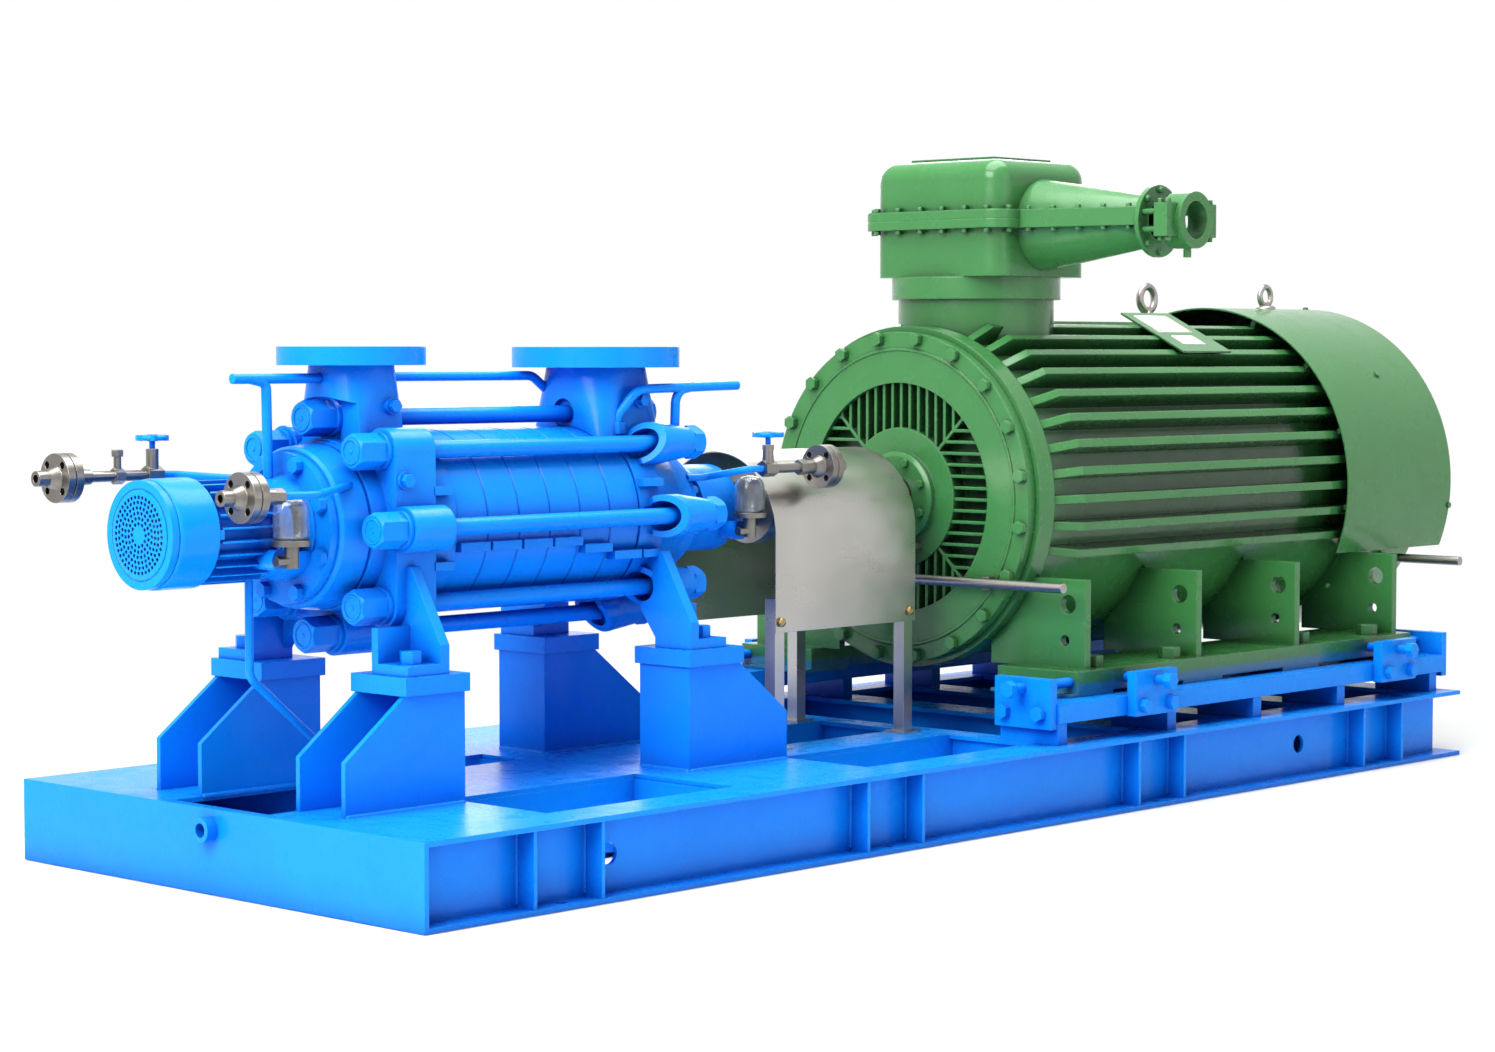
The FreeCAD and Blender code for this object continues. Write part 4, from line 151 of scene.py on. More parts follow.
# Sizes of the pieces made here; a bolt is (radius, height), a profile (radius, height) from the seat up
WELD_PITCH = 0.006
WELD_HOLLOW = 0.86  # of the bead's radius, as is its end
WELD_END = 0.4
PEDESTAL_WELD = 0.007
STIFFENER_WELD = 0.005
NUT_RING = (0.028, 0.0025, 0.007)  # radius, height, width
NUT_CENTRE = ((0.006, -0.001), (0.006, 0.001), (0.004, 0.002))
FACE_RING = (0.420, 0.003, 0.012)  # radius, height, width
HOOD_SCREW = (0.0095, 0.007)
STRIP_BOLTS = 5
STRIP_BOLT_FIRST = -0.300
STRIP_BOLT_PITCH = 0.078
STRIP_BOLT_INSET = 0.011
STRIP_BOLT = (0.0085, 0.010)
TIP_BOLT_CIRCLE = 0.086
TIP_BOLT_TURNS = (45, 90, 135, 225, 270, 315)
TIP_BOLT = (0.009, 0.011)
CLAMP_BOLT_X = 0.098
CLAMP_BOLT_Y = (-0.752, -0.728)
CLAMP_BOLT = (0.009, 0.012)
PLATES = ((0.035, 0.125, 0.165, 0.115), (0.060, 0.045, 0.110, 0.060))  # along, across, length, width
PLATE_SHEET = 0.0015
PLATE_ROUND = 0.006
PLATE_CORNER_STEPS = 4
RIVET_INSET = 0.009
RIVET = ((0.0035, -0.001), (0.0033, 0.0008), (0.002, 0.0018))
GUARD_SCREW = (
    (0.0125, -0.005), (0.0125, 0.001), (0.0105, 0.0035), (0.0075, 0.0050), (0.0040, 0.0058), (0.0015, 0.0060),
)
GUARD_SCREW_SLOT = 0.0014
EYE_ROD = 0.31  # of the ring's radius
EYE_COLLAR = ((0.034, -0.012), (0.034, 0.004), (0.028, 0.009), (0.018, 0.011))
EYE_NECK = 0.016
EYE_NECK_LEAST = 0.012
EYE_SWELL = 0.12  # of the rod's radius, at the foot of the ring
GLASS_WALL = 0.0025


# Materials


class Surface:
    """A Principled material with the short calls that the finishes below share."""

    def __init__(self, name, **settings):
        self.material = bpy.data.materials.new(name)
        self.material.use_nodes = True
        self.tree = self.material.node_tree
        self.shader = next(n for n in self.tree.nodes if n.type == "BSDF_PRINCIPLED")
        for key, value in settings.items():
            self.shader.inputs[key.replace("_", " ")].default_value = value
        self.place = self.node("ShaderNodeTexCoord").outputs["Object"]

    def node(self, kind, **settings):
        made = self.tree.nodes.new(kind)
        for key, value in settings.items():
            setattr(made, key, value)
        return made

    def link(self, source, target):
        self.tree.links.new(source, target)

    def noise(self, scale, detail=3.0, roughness=0.55, stretch=None):
        """Noise, with the scale in waves per metre; stretch draws it out along an axis."""
        made = self.node("ShaderNodeTexNoise")
        made.inputs["Scale"].default_value = scale
        made.inputs["Detail"].default_value = detail
        made.inputs["Roughness"].default_value = roughness
        place = self.place
        if stretch:
            mapping = self.node("ShaderNodeMapping")
            mapping.inputs["Scale"].default_value = stretch
            self.link(self.place, mapping.inputs["Vector"])
            place = mapping.outputs["Vector"]
        self.link(place, made.inputs["Vector"])
        return made.outputs["Fac"]

    def spread(self, value, low, high, to_low=0.0, to_high=1.0):
        """The value, with the range from low to high laid over the range from to_low to to_high."""
        made = self.node("ShaderNodeMapRange", clamp=True)
        for key, number in zip(("From Min", "From Max", "To Min", "To Max"), (low, high, to_low, to_high)):
            made.inputs[key].default_value = number
        self.link(value, made.inputs["Value"])
        return made.outputs["Result"]

    def math(self, operation, first, second):
        """Two numbers or sockets put together, held between 0 and 1."""
        made = self.node("ShaderNodeMath", operation=operation, use_clamp=True)
        for slot, value in zip(made.inputs, (first, second)):
            if isinstance(value, (int, float)):
                slot.default_value = value
            else:
                self.link(value, slot)
        return made.outputs["Value"]

    def mix(self, share, first, second):
        """Colour between first and second; each is a colour or a socket."""
        made = self.node("ShaderNodeMix", data_type="RGBA")
        self.link(share, made.inputs["Factor"])
        colour_slots = [slot for slot in made.inputs if slot.type == "RGBA"]
        for slot, value in zip(colour_slots, (first, second)):
            if isinstance(value, tuple):
                slot.default_value = (*value, 1.0)
            else:
                self.link(value, slot)
        return next(slot for slot in made.outputs if slot.type == "RGBA")

    def lay(self, tone, over, mask, amount):
        """The tone, with another colour laid over it by the amount where the mask is 1."""
        return self.mix(self.math("MULTIPLY", mask, amount), tone, over)

    def split(self, vector, axis):
        """The X, Y or Z part of a vector."""
        made = self.node("ShaderNodeSeparateXYZ")
        self.link(vector, made.inputs["Vector"])
        return made.outputs[axis]

    def normal(self):
        return self.node("ShaderNodeNewGeometry").outputs["Normal"]

    def edges(self, width):
        """Mask of edges within a width, and the rounded normal there."""
        bevel = self.node("ShaderNodeBevel", samples=4)
        bevel.inputs["Radius"].default_value = width
        dot = self.node("ShaderNodeVectorMath", operation="DOT_PRODUCT")
        self.link(bevel.outputs["Normal"], dot.inputs[0])
        self.link(self.normal(), dot.inputs[1])
        return self.spread(dot.outputs["Value"], 1.0, EDGE_COSINE), bevel.outputs["Normal"]

    def shade_in_gaps(self, distance):
        """Mask of corners and gaps, as far out from them as the distance, for painted shade."""
        made = self.node("ShaderNodeAmbientOcclusion", samples=4)
        made.inputs["Distance"].default_value = distance
        return self.spread(made.outputs["AO"], CREVICE_OPEN, CREVICE_CLOSED)

    def bump(self, heights, normal=None):
        """Stacked bumps: (height socket, depth in metres) each."""
        for height, depth in heights:
            made = self.node("ShaderNodeBump")
            made.inputs["Strength"].default_value = 1.0
            made.inputs["Distance"].default_value = depth
            self.link(height, made.inputs["Height"])
            if normal:
                self.link(normal, made.inputs["Normal"])
            normal = made.outputs["Normal"]
        self.link(normal, self.shader.inputs["Normal"])

    def colour(self, socket):
        self.link(socket, self.shader.inputs["Base Color"])

    def roughness(self, socket):
        self.link(socket, self.shader.inputs["Roughness"])


def enamel(name, body, deep, worn_and_lit, cast, shine, gloss, rounding=0.0035, gap=0.10, overspray=None):
    """Sprayed enamel: uneven coats, lighter edges of rubbed paint with a painted highlight, painted shade in
    corners and gaps, a film of dust on top faces.
    """
    made = Surface(name, Metallic=0.0, Specular_IOR_Level=gloss, Coat_Weight=gloss * 0.6, Coat_Roughness=0.10)
    cloud = made.spread(made.noise(1.7, detail=4.0), 0.30, 0.72)
    patches = made.spread(made.noise(9.0, detail=5.0, roughness=0.62), 0.42, 0.78, 0.0, 0.55)
    chips_and_glints = made.spread(made.noise(70.0, detail=4.0, roughness=0.7), 0.38, 0.62)
    edge, normal = made.edges(rounding)
    tone = made.lay(body, deep, cloud, 0.14)
    tone = made.lay(tone, worn_and_lit, patches, 0.12)
    # Lighter edges, broken up by noise: rubbed paint and a painted highlight
    tone = made.lay(tone, worn_and_lit, made.math("MULTIPLY", edge, chips_and_glints), 0.55)
    # Painted shade: the deep tone in corners and gaps, where shade falls
    tone = made.lay(tone, deep, made.shade_in_gaps(gap), 0.85)
    if overspray:
        low = made.spread(made.split(made.place, "Z"), OVERSPRAY_TOP, OVERSPRAY_FULL, 0.0, 0.75)
        mist = made.spread(made.noise(16.0, detail=4.0), 0.25, 0.6, 0.55, 1.0)
        tone = made.mix(made.math("MULTIPLY", low, mist), tone, overspray)
    facing_up = made.spread(made.split(made.normal(), "Z"), 0.55, 1.0)
    film = made.spread(made.noise(5.0, detail=6.0, roughness=0.7), 0.42, 0.75)
    made.colour(made.lay(tone, DUST, made.math("MULTIPLY", facing_up, film), 0.015))
    grease = made.noise(14.0, detail=5.0, roughness=0.6)
    made.roughness(made.spread(grease, 0.3, 0.75, shine - 0.08, shine + 0.14))
    heights = [(made.noise(4.0, detail=2.0), 0.0007), (made.noise(240.0, detail=2.0), 0.00005)]
    if cast:
        heights.append((made.noise(38.0, detail=5.0, roughness=0.6), 0.0004))
        heights.append((made.noise(150.0, detail=3.0, roughness=0.6), 0.00014))
    made.bump(heights, normal)
    return made.material


def metal(name, tone, dark, shine, grain, stretch):
    """Bare metal with a drawn or turned grain, random stains, painted shade in the corners, a painted
    highlight on the edges and a slightly uneven surface.
    """
    made = Surface(name, Metallic=1.0, Anisotropic=0.35)
    stains = made.spread(made.noise(6.0, detail=6.0, roughness=0.65), 0.40, 0.78)
    streaks = made.noise(grain, detail=3.0, roughness=0.6, stretch=stretch)
    edge, normal = made.edges(METAL_EDGE)
    shade = made.lay(tone, dark, stains, 0.35)
    shade = made.mix(made.spread(streaks, 0.35, 0.7, 0.0, 0.28), shade, dark)
    # Painted shade: darker in corners and gaps, where shade falls
    shade = made.lay(shade, dark, made.shade_in_gaps(0.02), 0.6)
    # Painted highlight: the edges turned pale steel
    made.colour(made.lay(shade, STEEL_EDGE_HIGHLIGHT, edge, METAL_EDGE_HIGHLIGHT))
    grained = made.spread(streaks, 0.3, 0.7, shine - 0.05, shine + 0.08)
    made.roughness(made.math("ADD", grained, made.spread(stains, 0.0, 1.0, 0.0, 0.10)))
    made.bump([(made.noise(2.6, detail=2.0, roughness=0.5), 0.0002), (streaks, 0.00008)], normal)
    return made.material


def sheet_metal(name, tone, dark):
    """Thin polished sheet: broad dents and soft stains, no grain."""
    made = Surface(name, Metallic=1.0)
    cloud = made.spread(made.noise(3.2, detail=3.0, roughness=0.5), 0.32, 0.7)
    edge, normal = made.edges(METAL_EDGE)
    # Darker soft stains, and a painted highlight on the edges
    made.colour(made.lay(made.lay(tone, dark, cloud, 0.30), STEEL_EDGE_HIGHLIGHT, edge, METAL_EDGE_HIGHLIGHT))
    smears = made.noise(7.0, detail=3.0, roughness=0.5, stretch=(1.0, 1.0, 2.5))
    made.roughness(made.spread(smears, 0.3, 0.7, 0.26, 0.36))
    dents = made.noise(2.4, detail=1.0, roughness=0.4)
    ripples = made.noise(8.0, detail=1.0, roughness=0.4, stretch=(1.0, 1.0, 1.8))
    made.bump([(dents, 0.007), (ripples, 0.0016)], normal)
    return made.material


def rough_casting(name):
    """Unpainted grey iron, for what only shows through openings."""
    made = Surface(name, Metallic=0.7)
    rust = made.spread(made.noise(12.0, detail=6.0, roughness=0.7), 0.52, 0.75)
    made.colour(made.lay(GREY_IRON, RUST, rust, 0.5))
    made.roughness(made.spread(made.noise(30.0), 0.3, 0.7, 0.5, 0.75))
    made.bump([(made.noise(90.0, detail=4.0), 0.0006)])
    return made.material


def moulded_plastic(name):
    """Black moulding with a fine texture, rubbed a little paler in places."""
    made = Surface(name, Metallic=0.0)
    made.colour(made.mix(made.spread(made.noise(20.0), 0.35, 0.7), BLACK_PLASTIC, PLASTIC_RUBBED))
    made.roughness(made.spread(made.noise(45.0), 0.3, 0.7, 0.42, 0.6))
    made.bump([(made.noise(400.0, detail=2.0), 0.0001)])
    return made.material


def bottle_glass(name):
    """Clear blown glass, a little wavy, with a haze of old oil."""
    made = Surface(name, Metallic=0.0, IOR=1.50, Transmission_Weight=0.95)
    haze = made.spread(made.noise(22.0, detail=4.0), 0.42, 0.8)
    made.colour(made.lay(GLASS, OIL_HAZE, haze, 0.5))
    made.roughness(made.spread(haze, 0.0, 1.0, 0.04, 0.20))
    made.bump([(made.noise(18.0, detail=2.0), 0.0005)])
    return made.material


FINISHES = {
    "blue_paint": lambda: enamel("blue enamel on welded steel", BLUE, BLUE_DEEP, BLUE_WORN_AND_HIGHLIGHT, False, 0.27, 0.11),
    "blue_casting": lambda: enamel("blue enamel on cast iron", BLUE, BLUE_DEEP, BLUE_WORN_AND_HIGHLIGHT, True, 0.28, 0.13),
    "green_paint": lambda: enamel("green enamel on cast iron", GREEN, GREEN_DEEP, GREEN_WORN_AND_HIGHLIGHT, True, 0.22, 0.34,
                                  0.007, 0.12, OVERSPRAY),
    "stainless_sheet": lambda: sheet_metal("stainless sheet", STEEL, STEEL_DARK),
    "fitting_steel": lambda: metal("fitting steel", FITTING, FITTING_DARK, 0.30, 160.0, DRAWN),
    "machined_steel": lambda: metal("turned steel", TURNED, TURNED_DARK, 0.28, 220.0, SPUN),
    "bare_steel": lambda: metal("forged steel", FORGED, FORGED_DARK, 0.32, 90.0, EVEN),
    "raw_casting": lambda: rough_casting("unpainted casting"),
    "bearing_metal": lambda: metal("bearing rings", BEARING, BEARING_DARK, 0.22, 200.0, SPUN),
    "lamination_steel": lambda: rough_casting("laminated core"),
    "fan_plastic": lambda: moulded_plastic("black moulding"),
    "bottle_glass": lambda: bottle_glass("bottle glass"),
}


def assign_finishes(frame):
    """Give each CAD node the finish of its material slot, and return the finishes by slot."""
    made = {}
    for part in frame["record"]["subparts"]:
        name = part["material_slot"]
        if name not in made:
            made[name] = FINISHES[name]()
        piece = frame["nodes"][part["node"]]
        piece.data.materials.clear()
        piece.data.materials.append(made[name])
    return made


# Camera, light and floor


def set_camera():
    data = bpy.data.cameras.new("Camera")
    data.sensor_width = SENSOR_WIDTH
    data.lens = CAMERA_LENS
    data.clip_end = CAMERA_REACH
    camera = bpy.data.objects.new("Camera", data)
    camera.location = CAMERA_AT
    camera.rotation_euler = [math.radians(turn) for turn in CAMERA_TURN]
    bpy.context.scene.collection.objects.link(camera)
    bpy.context.scene.camera = camera


def soft_light(name, at, aim, size, power, tint):
    """Rectangular lamp that faces its aim."""
    data = bpy.data.lights.new(name, "AREA")
    data.shape = "RECTANGLE"
    data.size, data.size_y = size
    data.energy = power
    data.color = tint
    lamp = bpy.data.objects.new(name, data)
    lamp.location = at
    lamp.rotation_euler = (Vector(aim) - Vector(at)).to_track_quat("-Z", "Y").to_euler()
    bpy.context.scene.collection.objects.link(lamp)


def background_rays(tree):
    """1 for the rays that show the white background: from the camera, off metal and through glass."""
    paths = tree.nodes.new("ShaderNodeLightPath")
    total = paths.outputs["Is Camera Ray"]
    for name in ("Is Glossy Ray", "Is Transmission Ray"):
        either = tree.nodes.new("ShaderNodeMath")
        either.operation = "MAXIMUM"
        tree.links.new(total, either.inputs[0])
        tree.links.new(paths.outputs[name], either.inputs[1])
        total = either.outputs["Value"]
    return total


def set_world():
    """White where it is seen, a soft studio gradient as light."""
    world = bpy.data.worlds.new("Studio")
    world.use_nodes = True
    tree = world.node_tree
    tree.nodes.clear()
    place = tree.nodes.new("ShaderNodeTexCoord")
    split = tree.nodes.new("ShaderNodeSeparateXYZ")
    half = tree.nodes.new("ShaderNodeMath")
    half.operation = "MULTIPLY_ADD"
    half.inputs[1].default_value = half.inputs[2].default_value = 0.5
    ramp = tree.nodes.new("ShaderNodeValToRGB")
    stops = ramp.color_ramp.elements
    for position, shade in STUDIO_SHADES:
        stop = stops.new(position) if position else stops[0]
        stop.position = position
        stop.color = (shade, shade, shade * STUDIO_BLUE, 1.0)
    stops.remove(stops[-1])  # the ramp's own white one, which the last shade stands for
    gradient = tree.nodes.new("ShaderNodeBackground")
    gradient.inputs["Strength"].default_value = STUDIO_LIGHT
    white = tree.nodes.new("ShaderNodeBackground")
    white.inputs["Color"].default_value = (*WHITE, 1.0)
    seen = tree.nodes.new("ShaderNodeMixShader")
    out = tree.nodes.new("ShaderNodeOutputWorld")
    links = tree.links
    links.new(place.outputs["Generated"], split.inputs["Vector"])
    links.new(split.outputs["Z"], half.inputs[0])
    links.new(half.outputs["Value"], ramp.inputs["Fac"])
    links.new(ramp.outputs["Color"], gradient.inputs["Color"])
    links.new(background_rays(tree), seen.inputs["Fac"])
    links.new(gradient.outputs["Background"], seen.inputs[1])
    links.new(white.outputs["Background"], seen.inputs[2])
    links.new(seen.outputs["Shader"], out.inputs["Surface"])
    bpy.context.scene.world = world


def set_floor():
    """Pale floor that keeps its shadow near the base and turns to the white background with distance."""
    mesh = bpy.data.meshes.new("Floor")
    form = bmesh.new()
    bmesh.ops.create_circle(form, cap_ends=True, segments=96, radius=FLOOR_RADIUS)
    form.to_mesh(mesh)
    form.free()
    floor = bpy.data.objects.new("Floor", mesh)
    floor.location = (0.0, 0.0, FLOOR_Z)
    bpy.context.scene.collection.objects.link(floor)
    made = Surface("pale floor", Roughness=0.75)
    made.colour(made.mix(made.spread(made.noise(1.2), 0.3, 0.7), PALE_FLOOR, PALER_FLOOR))
    reach = made.node("ShaderNodeVectorMath", operation="LENGTH")
    made.link(made.place, reach.inputs[0])
    bright = made.spread(reach.outputs["Value"], WHITE_FROM, WHITE_FULL)
    for axis, half in SHADOW_HALVES:
        off = made.node("ShaderNodeMath", operation="ABSOLUTE")
        made.link(made.split(made.place, axis), off.inputs[0])
        past = made.spread(off.outputs["Value"], half, half + SHADOW_FADE, 0.0, WHITE_BESIDE)
        bright = made.math("MAXIMUM", bright, past)
    glow = made.node("ShaderNodeEmission")
    blend = made.node("ShaderNodeMixShader")
    out = next(n for n in made.tree.nodes if n.type == "OUTPUT_MATERIAL")
    made.link(made.math("MULTIPLY", bright, background_rays(made.tree)), blend.inputs["Fac"])
    made.link(made.shader.outputs["BSDF"], blend.inputs[1])
    made.link(glow.outputs["Emission"], blend.inputs[2])
    made.link(blend.outputs["Shader"], out.inputs["Surface"])
    mesh.materials.append(made.material)


# Forms that the pieces are made of


def new_piece(name, form, material, body="frame"):
    """Turn a finished form into a piece that rides on a CAD body."""
    mesh = bpy.data.meshes.new(name)
    form.to_mesh(mesh)
    form.free()
    piece = bpy.data.objects.new(name, mesh)
    mesh.materials.append(material)
    bpy.context.scene.collection.objects.link(piece)
    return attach(piece, body)


def smooth(form):
    for face in form.faces:
        face.smooth = True


def directions(axis):
    """The axis at unit length, and two directions square to it."""
    axis = Vector(axis).normalized()
    side = axis.orthogonal().normalized()
    return axis, side, axis.cross(side)


def turns(count):
    """Angles evenly round a circle."""
    return [math.tau * k / count for k in range(count)]


def circle(form, centre, side, other, radius, sides):
    """New corners round a circle, from side towards other."""
    return [form.verts.new(centre + (side * math.cos(a) + other * math.sin(a)) * radius) for a in turns(sides)]


def join_rings(form, rings, closed=False):
    """Skin over rings of as many corners each, capped at both ends unless the last ring meets the first."""
    sides = len(rings[0])
    following = rings[1:] + rings[:1] if closed else rings[1:]
    for before, after in zip(rings, following):
        for k in range(sides):
            form.faces.new((before[k], before[(k + 1) % sides], after[(k + 1) % sides], after[k]))
    if not closed:
        form.faces.new(rings[0][::-1])
        form.faces.new(rings[-1])


def weld_bead(form, start, end, radius):
    """Rippled bead along a straight corner, thinner at its ends."""
    start, end = Vector(start), Vector(end)
    _, side, other = directions(end - start)
    count = max(2, int((end - start).length / WELD_PITCH))
    rings = []
    for i in range(count + 1):
        ripple = WELD_END if i in (0, count) else 1.0 if i % 2 else WELD_HOLLOW
        rings.append(circle(form, start.lerp(end, i / count), side, other, radius * ripple, sides=8))
    join_rings(form, rings)


def turned(form, at, axis, profile, sides, slot=0.0):
    """Round or many-sided head: (radius, height) rings from the seat up, with a slot across a round one."""
    axis, side, other = directions(axis)
    rings = []
    for number, (radius, height) in enumerate(profile):
        ring = []
        for turn in turns(sides):
            across = math.sin(turn) * radius
            sunk = slot if number > 1 and abs(across) < slot else 0.0
            ring.append(form.verts.new(Vector(at) + axis * (height - sunk)
                                       + side * (math.cos(turn) * radius) + other * across))
        rings.append(ring)
    join_rings(form, rings)


def hoop(form, at, axis, radius, height, width, sides):
    """Low raised ring with sloping flanks."""
    axis, side, other = directions(axis)
    section = ((-width / 2, 0.0), (-width / 4, height), (width / 4, height), (width / 2, 0.0))
    rings = []
    for turn in turns(sides):
        out = side * math.cos(turn) + other * math.sin(turn)
        rings.append([form.verts.new(Vector(at) + axis * rise + out * (radius + shift))
                      for shift, rise in section])
    join_rings(form, rings, closed=True)


def bolt_head(form, at, axis, radius, height):
    """Hexagon head with a chamfer, on its washer."""
    washer, rim = height * 0.16, height * 0.86
    turned(form, at, axis, ((radius * 1.12, 0.0), (radius * 1.12, washer)), sides=20)
    turned(form, at, axis, ((radius, washer), (radius, rim), (radius * 0.84, height)), sides=6)


def bolt_through(form, x, y, heights, size):
    """Heads on the upper and lower faces that a bolt goes through."""
    low, high = heights
    bolt_head(form, (x, y, high), (0, 0, 1), *size)
    bolt_head(form, (x, y, low), (0, 0, -1), *size)


def plain_plate(form, corner, along, across, length, width):
    """Thin plate with rounded corners and an eased upper edge."""
    along, across = Vector(along).normalized(), Vector(across).normalized()
    up = along.cross(across)
    rings = []
    for inset, rise in ((0.0, 0.0), (0.0, PLATE_SHEET * 0.6), (PLATE_SHEET * 0.4, PLATE_SHEET)):
        ring = []
        for x, y, start in ((length, width, 0), (0.0, width, 1), (0.0, 0.0, 2), (length, 0.0, 3)):
            middle_x = x - PLATE_ROUND if x else PLATE_ROUND
            middle_y = y - PLATE_ROUND if y else PLATE_ROUND
            for step in range(PLATE_CORNER_STEPS + 1):
                turn = math.tau / 4 * (start + step / PLATE_CORNER_STEPS)
                ring.append(form.verts.new(
                    Vector(corner) + up * rise + along * (middle_x + math.cos(turn) * (PLATE_ROUND - inset))
                    + across * (middle_y + math.sin(turn) * (PLATE_ROUND - inset))))
        rings.append(ring)
    join_rings(form, rings)


# Pieces made here


def base_welds(material):
    """Fillet welds of the pedestals on the deck and of the stiffeners in the side beams."""
    form = bmesh.new()
    for (start, end), closed_x in PEDESTALS:
        for side in (-1, 1):
            low, high = side * PEDESTAL_Y - PEDESTAL_HALF, side * PEDESTAL_Y + PEDESTAL_HALF
            for y in (low, high):
                weld_bead(form, (start, y, DECK_Z), (end, y, DECK_Z), PEDESTAL_WELD)
            weld_bead(form, (closed_x, low, DECK_Z), (closed_x, high, DECK_Z), PEDESTAL_WELD)
    new_piece("pedestal_welds", form, material)
    form = bmesh.new()
    for side in (-1, 1):
        for middle in STIFFENER_X:
            for shift in STIFFENER_SHIFTS:
                for face in STIFFENER_FACES:
                    foot, head = ((middle + shift + face, side * WEB_Y, z) for z in STIFFENER_Z)
                    weld_bead(form, foot, head, STIFFENER_WELD)
    new_piece("beam_welds", form, material)


def rod_nut_rings(material):
    """Turned ring and centre mark on the face of each closed tie rod nut."""
    form = bmesh.new()
    for turn in turns(ROD_COUNT):
        at = (ROD_NUT_X, -ROD_CIRCLE * math.cos(turn), SHAFT_Z + ROD_CIRCLE * math.sin(turn))
        hoop(form, at, (-1, 0, 0), *NUT_RING, sides=32)
        turned(form, at, (-1, 0, 0), NUT_CENTRE, sides=12)
    new_piece("rod_nut_rings", form, material)


def cone_bolts(material):
    """Bolts and nuts through the cone's joint strip, its tip flange and the clamp halves."""
    form = bmesh.new()
    for k in range(STRIP_BOLTS):
        y = STRIP_BOLT_FIRST - STRIP_BOLT_PITCH * k
        half = STRIP_ROOT_HALF + (y - STRIP_ROOT_Y) * STRIP_NARROWING / STRIP_LENGTH
        reach = half - STRIP_BOLT_INSET
        for side in (-1, 1):
            bolt_through(form, CONE_X + side * reach, y, STRIP_Z, STRIP_BOLT)
    for degrees in TIP_BOLT_TURNS:
        turn = math.radians(degrees)
        beside, above = TIP_BOLT_CIRCLE * math.cos(turn), TIP_BOLT_CIRCLE * math.sin(turn)
        bolt_head(form, (CONE_X + beside, TIP_FACE_Y, CONE_Z + above), (0, -1, 0), *TIP_BOLT)
    for side in (-1, 1):
        for y in CLAMP_BOLT_Y:
            bolt_through(form, CONE_X + side * CLAMP_BOLT_X, y, CLAMP_Z, CLAMP_BOLT)
    new_piece("cone_bolts", form, material)


def blank_plates(plate_metal, rivet_metal):
    """Two nameplates without any marking, riveted to their bracket."""
    across = Vector((0.0, math.cos(PLATE_TILT), math.sin(PLATE_TILT)))
    up = Vector((1, 0, 0)).cross(across)
    plates, rivets = bmesh.new(), bmesh.new()
    for x, y, length, width in PLATES:
        corner = Vector(PLATE_CORNER) + Vector((x, 0, 0)) + across * y + up * BRACKET_SHEET
        plain_plate(plates, corner, (1, 0, 0), across, length, width)
        for right in (RIVET_INSET, length - RIVET_INSET):
            for far in (RIVET_INSET, width - RIVET_INSET):
                at = corner + Vector((right, 0, 0)) + across * far + up * PLATE_SHEET
                turned(rivets, at, up, RIVET, sides=12)
    new_piece("blank_nameplates", plates, plate_metal)
    new_piece("nameplate_rivets", rivets, rivet_metal)


def guard_screws(material):
    """Slotted brass screws over the heads that hold the guard to its legs."""
    form = bmesh.new()
    for x in GUARD_SCREW_X:
        for side in (-1, 1):
            at = (x, side * GUARD_SCREW_Y, GUARD_SCREW_Z)
            turned(form, at, (0, side, 0), GUARD_SCREW, sides=24, slot=GUARD_SCREW_SLOT)
    new_piece("guard_screws", form, material)


def hood_screws(material):
    """Screws that hold the rear hood to the ribs under it."""
    form = bmesh.new()
    for x, degrees in HOOD_SCREWS:
        turn = math.radians(degrees)
        out = Vector((0.0, -math.cos(turn), math.sin(turn)))
        bolt_head(form, Vector((x, 0.0, SHAFT_Z)) + out * HOOD_RADIUS, out, *HOOD_SCREW)
    new_piece("hood_screws", form, material)


def face_ring(material):
    """Low turned step round the motor's drive-end face."""
    form = bmesh.new()
    hoop(form, (MOTOR_FACE_X, 0.0, SHAFT_Z), (-1, 0, 0), *FACE_RING, sides=160)
    new_piece("motor_face_ring", form, material)


def glass_bottle(name, node, body, material):
    """Blown bottle with a wall, in the place of its solid one."""
    low, high = (Vector(corner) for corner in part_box(node))
    centre = (low + high) / 2
    radius, height = (high.x - low.x) / 2, high.z - low.z
    form = bmesh.new()
    for wall in (0.0, GLASS_WALL):
        profile = (
            (radius * 0.62 - wall, wall),
            (radius * 0.86 - wall, 0.005 + wall),
            (radius - wall, 0.018),
            (radius - wall, height * 0.66),
            (radius * 0.96 - wall, height * 0.78),
            (radius * 0.84 - wall, height * 0.88),
            (radius * 0.60 - wall, height * 0.955),
            (radius * 0.30 - wall, height * 0.99 - wall),
            (radius * 0.08, height - wall),
        )
        built = len(form.faces)
        turned(form, (centre.x, centre.y, low.z), (0, 0, 1), profile, sides=40)
        if wall:
            bmesh.ops.reverse_faces(form, faces=list(form.faces)[built:])
    smooth(form)
    piece = new_piece(name, form, material, body)
    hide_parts(node)


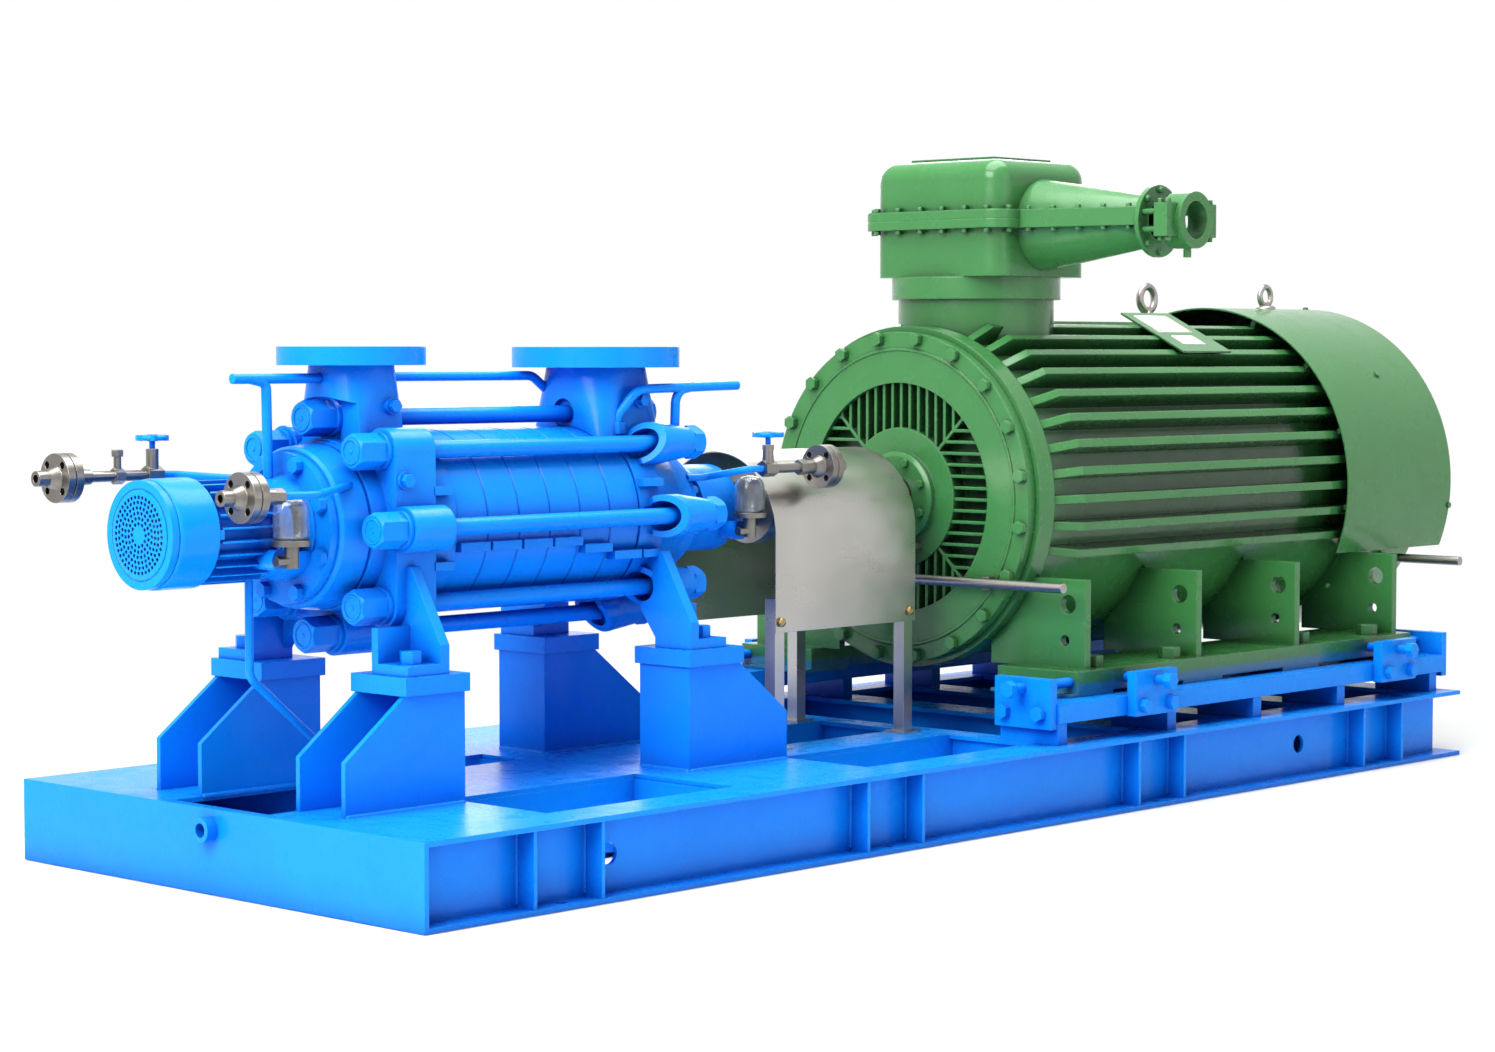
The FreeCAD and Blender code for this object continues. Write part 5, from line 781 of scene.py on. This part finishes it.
def lifting_eyes(material):
    """Forged eye bolts with their collars on frame and hood, in the place of the plain ones."""
    form = bmesh.new()
    for x, seat, crown, ring in LIFTING_EYES:
        rod = ring * EYE_ROD
        middle = crown - ring - rod
        neck = max(middle - ring - seat, EYE_NECK_LEAST)
        turned(form, (x, 0.0, seat), (0, 0, 1), (*EYE_COLLAR, (EYE_NECK, neck)), sides=28)
        rings = []
        for turn in turns(40):
            out = Vector((math.cos(turn), 0.0, math.sin(turn)))
            swell = rod * (1.0 + EYE_SWELL * max(0.0, -math.sin(turn)))
            centre = Vector((x, 0.0, middle)) + out * ring
            rings.append(circle(form, centre, out, Vector((0, 1, 0)), swell, sides=14))
        join_rings(form, rings, closed=True)
    smooth(form)
    piece = new_piece("forged_lifting_eyes", form, material)
    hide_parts("lifting_eyes")


set_camera()
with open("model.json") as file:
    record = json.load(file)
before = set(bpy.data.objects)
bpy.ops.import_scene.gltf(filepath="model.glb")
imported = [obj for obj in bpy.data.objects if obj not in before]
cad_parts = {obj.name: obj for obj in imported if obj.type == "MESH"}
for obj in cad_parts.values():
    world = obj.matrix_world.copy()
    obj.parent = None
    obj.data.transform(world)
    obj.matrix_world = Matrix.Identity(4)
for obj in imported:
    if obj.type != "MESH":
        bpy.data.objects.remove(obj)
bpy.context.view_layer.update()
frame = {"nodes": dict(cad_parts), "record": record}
finish = assign_finishes(frame)
base_welds(finish["blue_paint"])
rod_nut_rings(finish["blue_paint"])
cone_bolts(finish["green_paint"])
hood_screws(finish["green_paint"])
face_ring(finish["green_paint"])
blank_plates(metal("nameplate alloy", ALLOY, ALLOY_DARK, 0.42, 160.0, DRAWN), finish["machined_steel"])
lifting_eyes(finish["bare_steel"])
guard_screws(metal("brass", BRASS, BRASS_DARK, 0.30, 200.0, EVEN))
glass_bottle("nde_glass_bottle", "oiler_bottle_nde", "oiler_glass_nde", finish["bottle_glass"])
glass_bottle("de_glass_bottle", "oiler_bottle_de", "oiler_glass_de", finish["bottle_glass"])
set_world()
for lamp in LAMPS:
    soft_light(*lamp)
set_floor()

scene = bpy.context.scene
scene.view_settings.view_transform = "Standard"
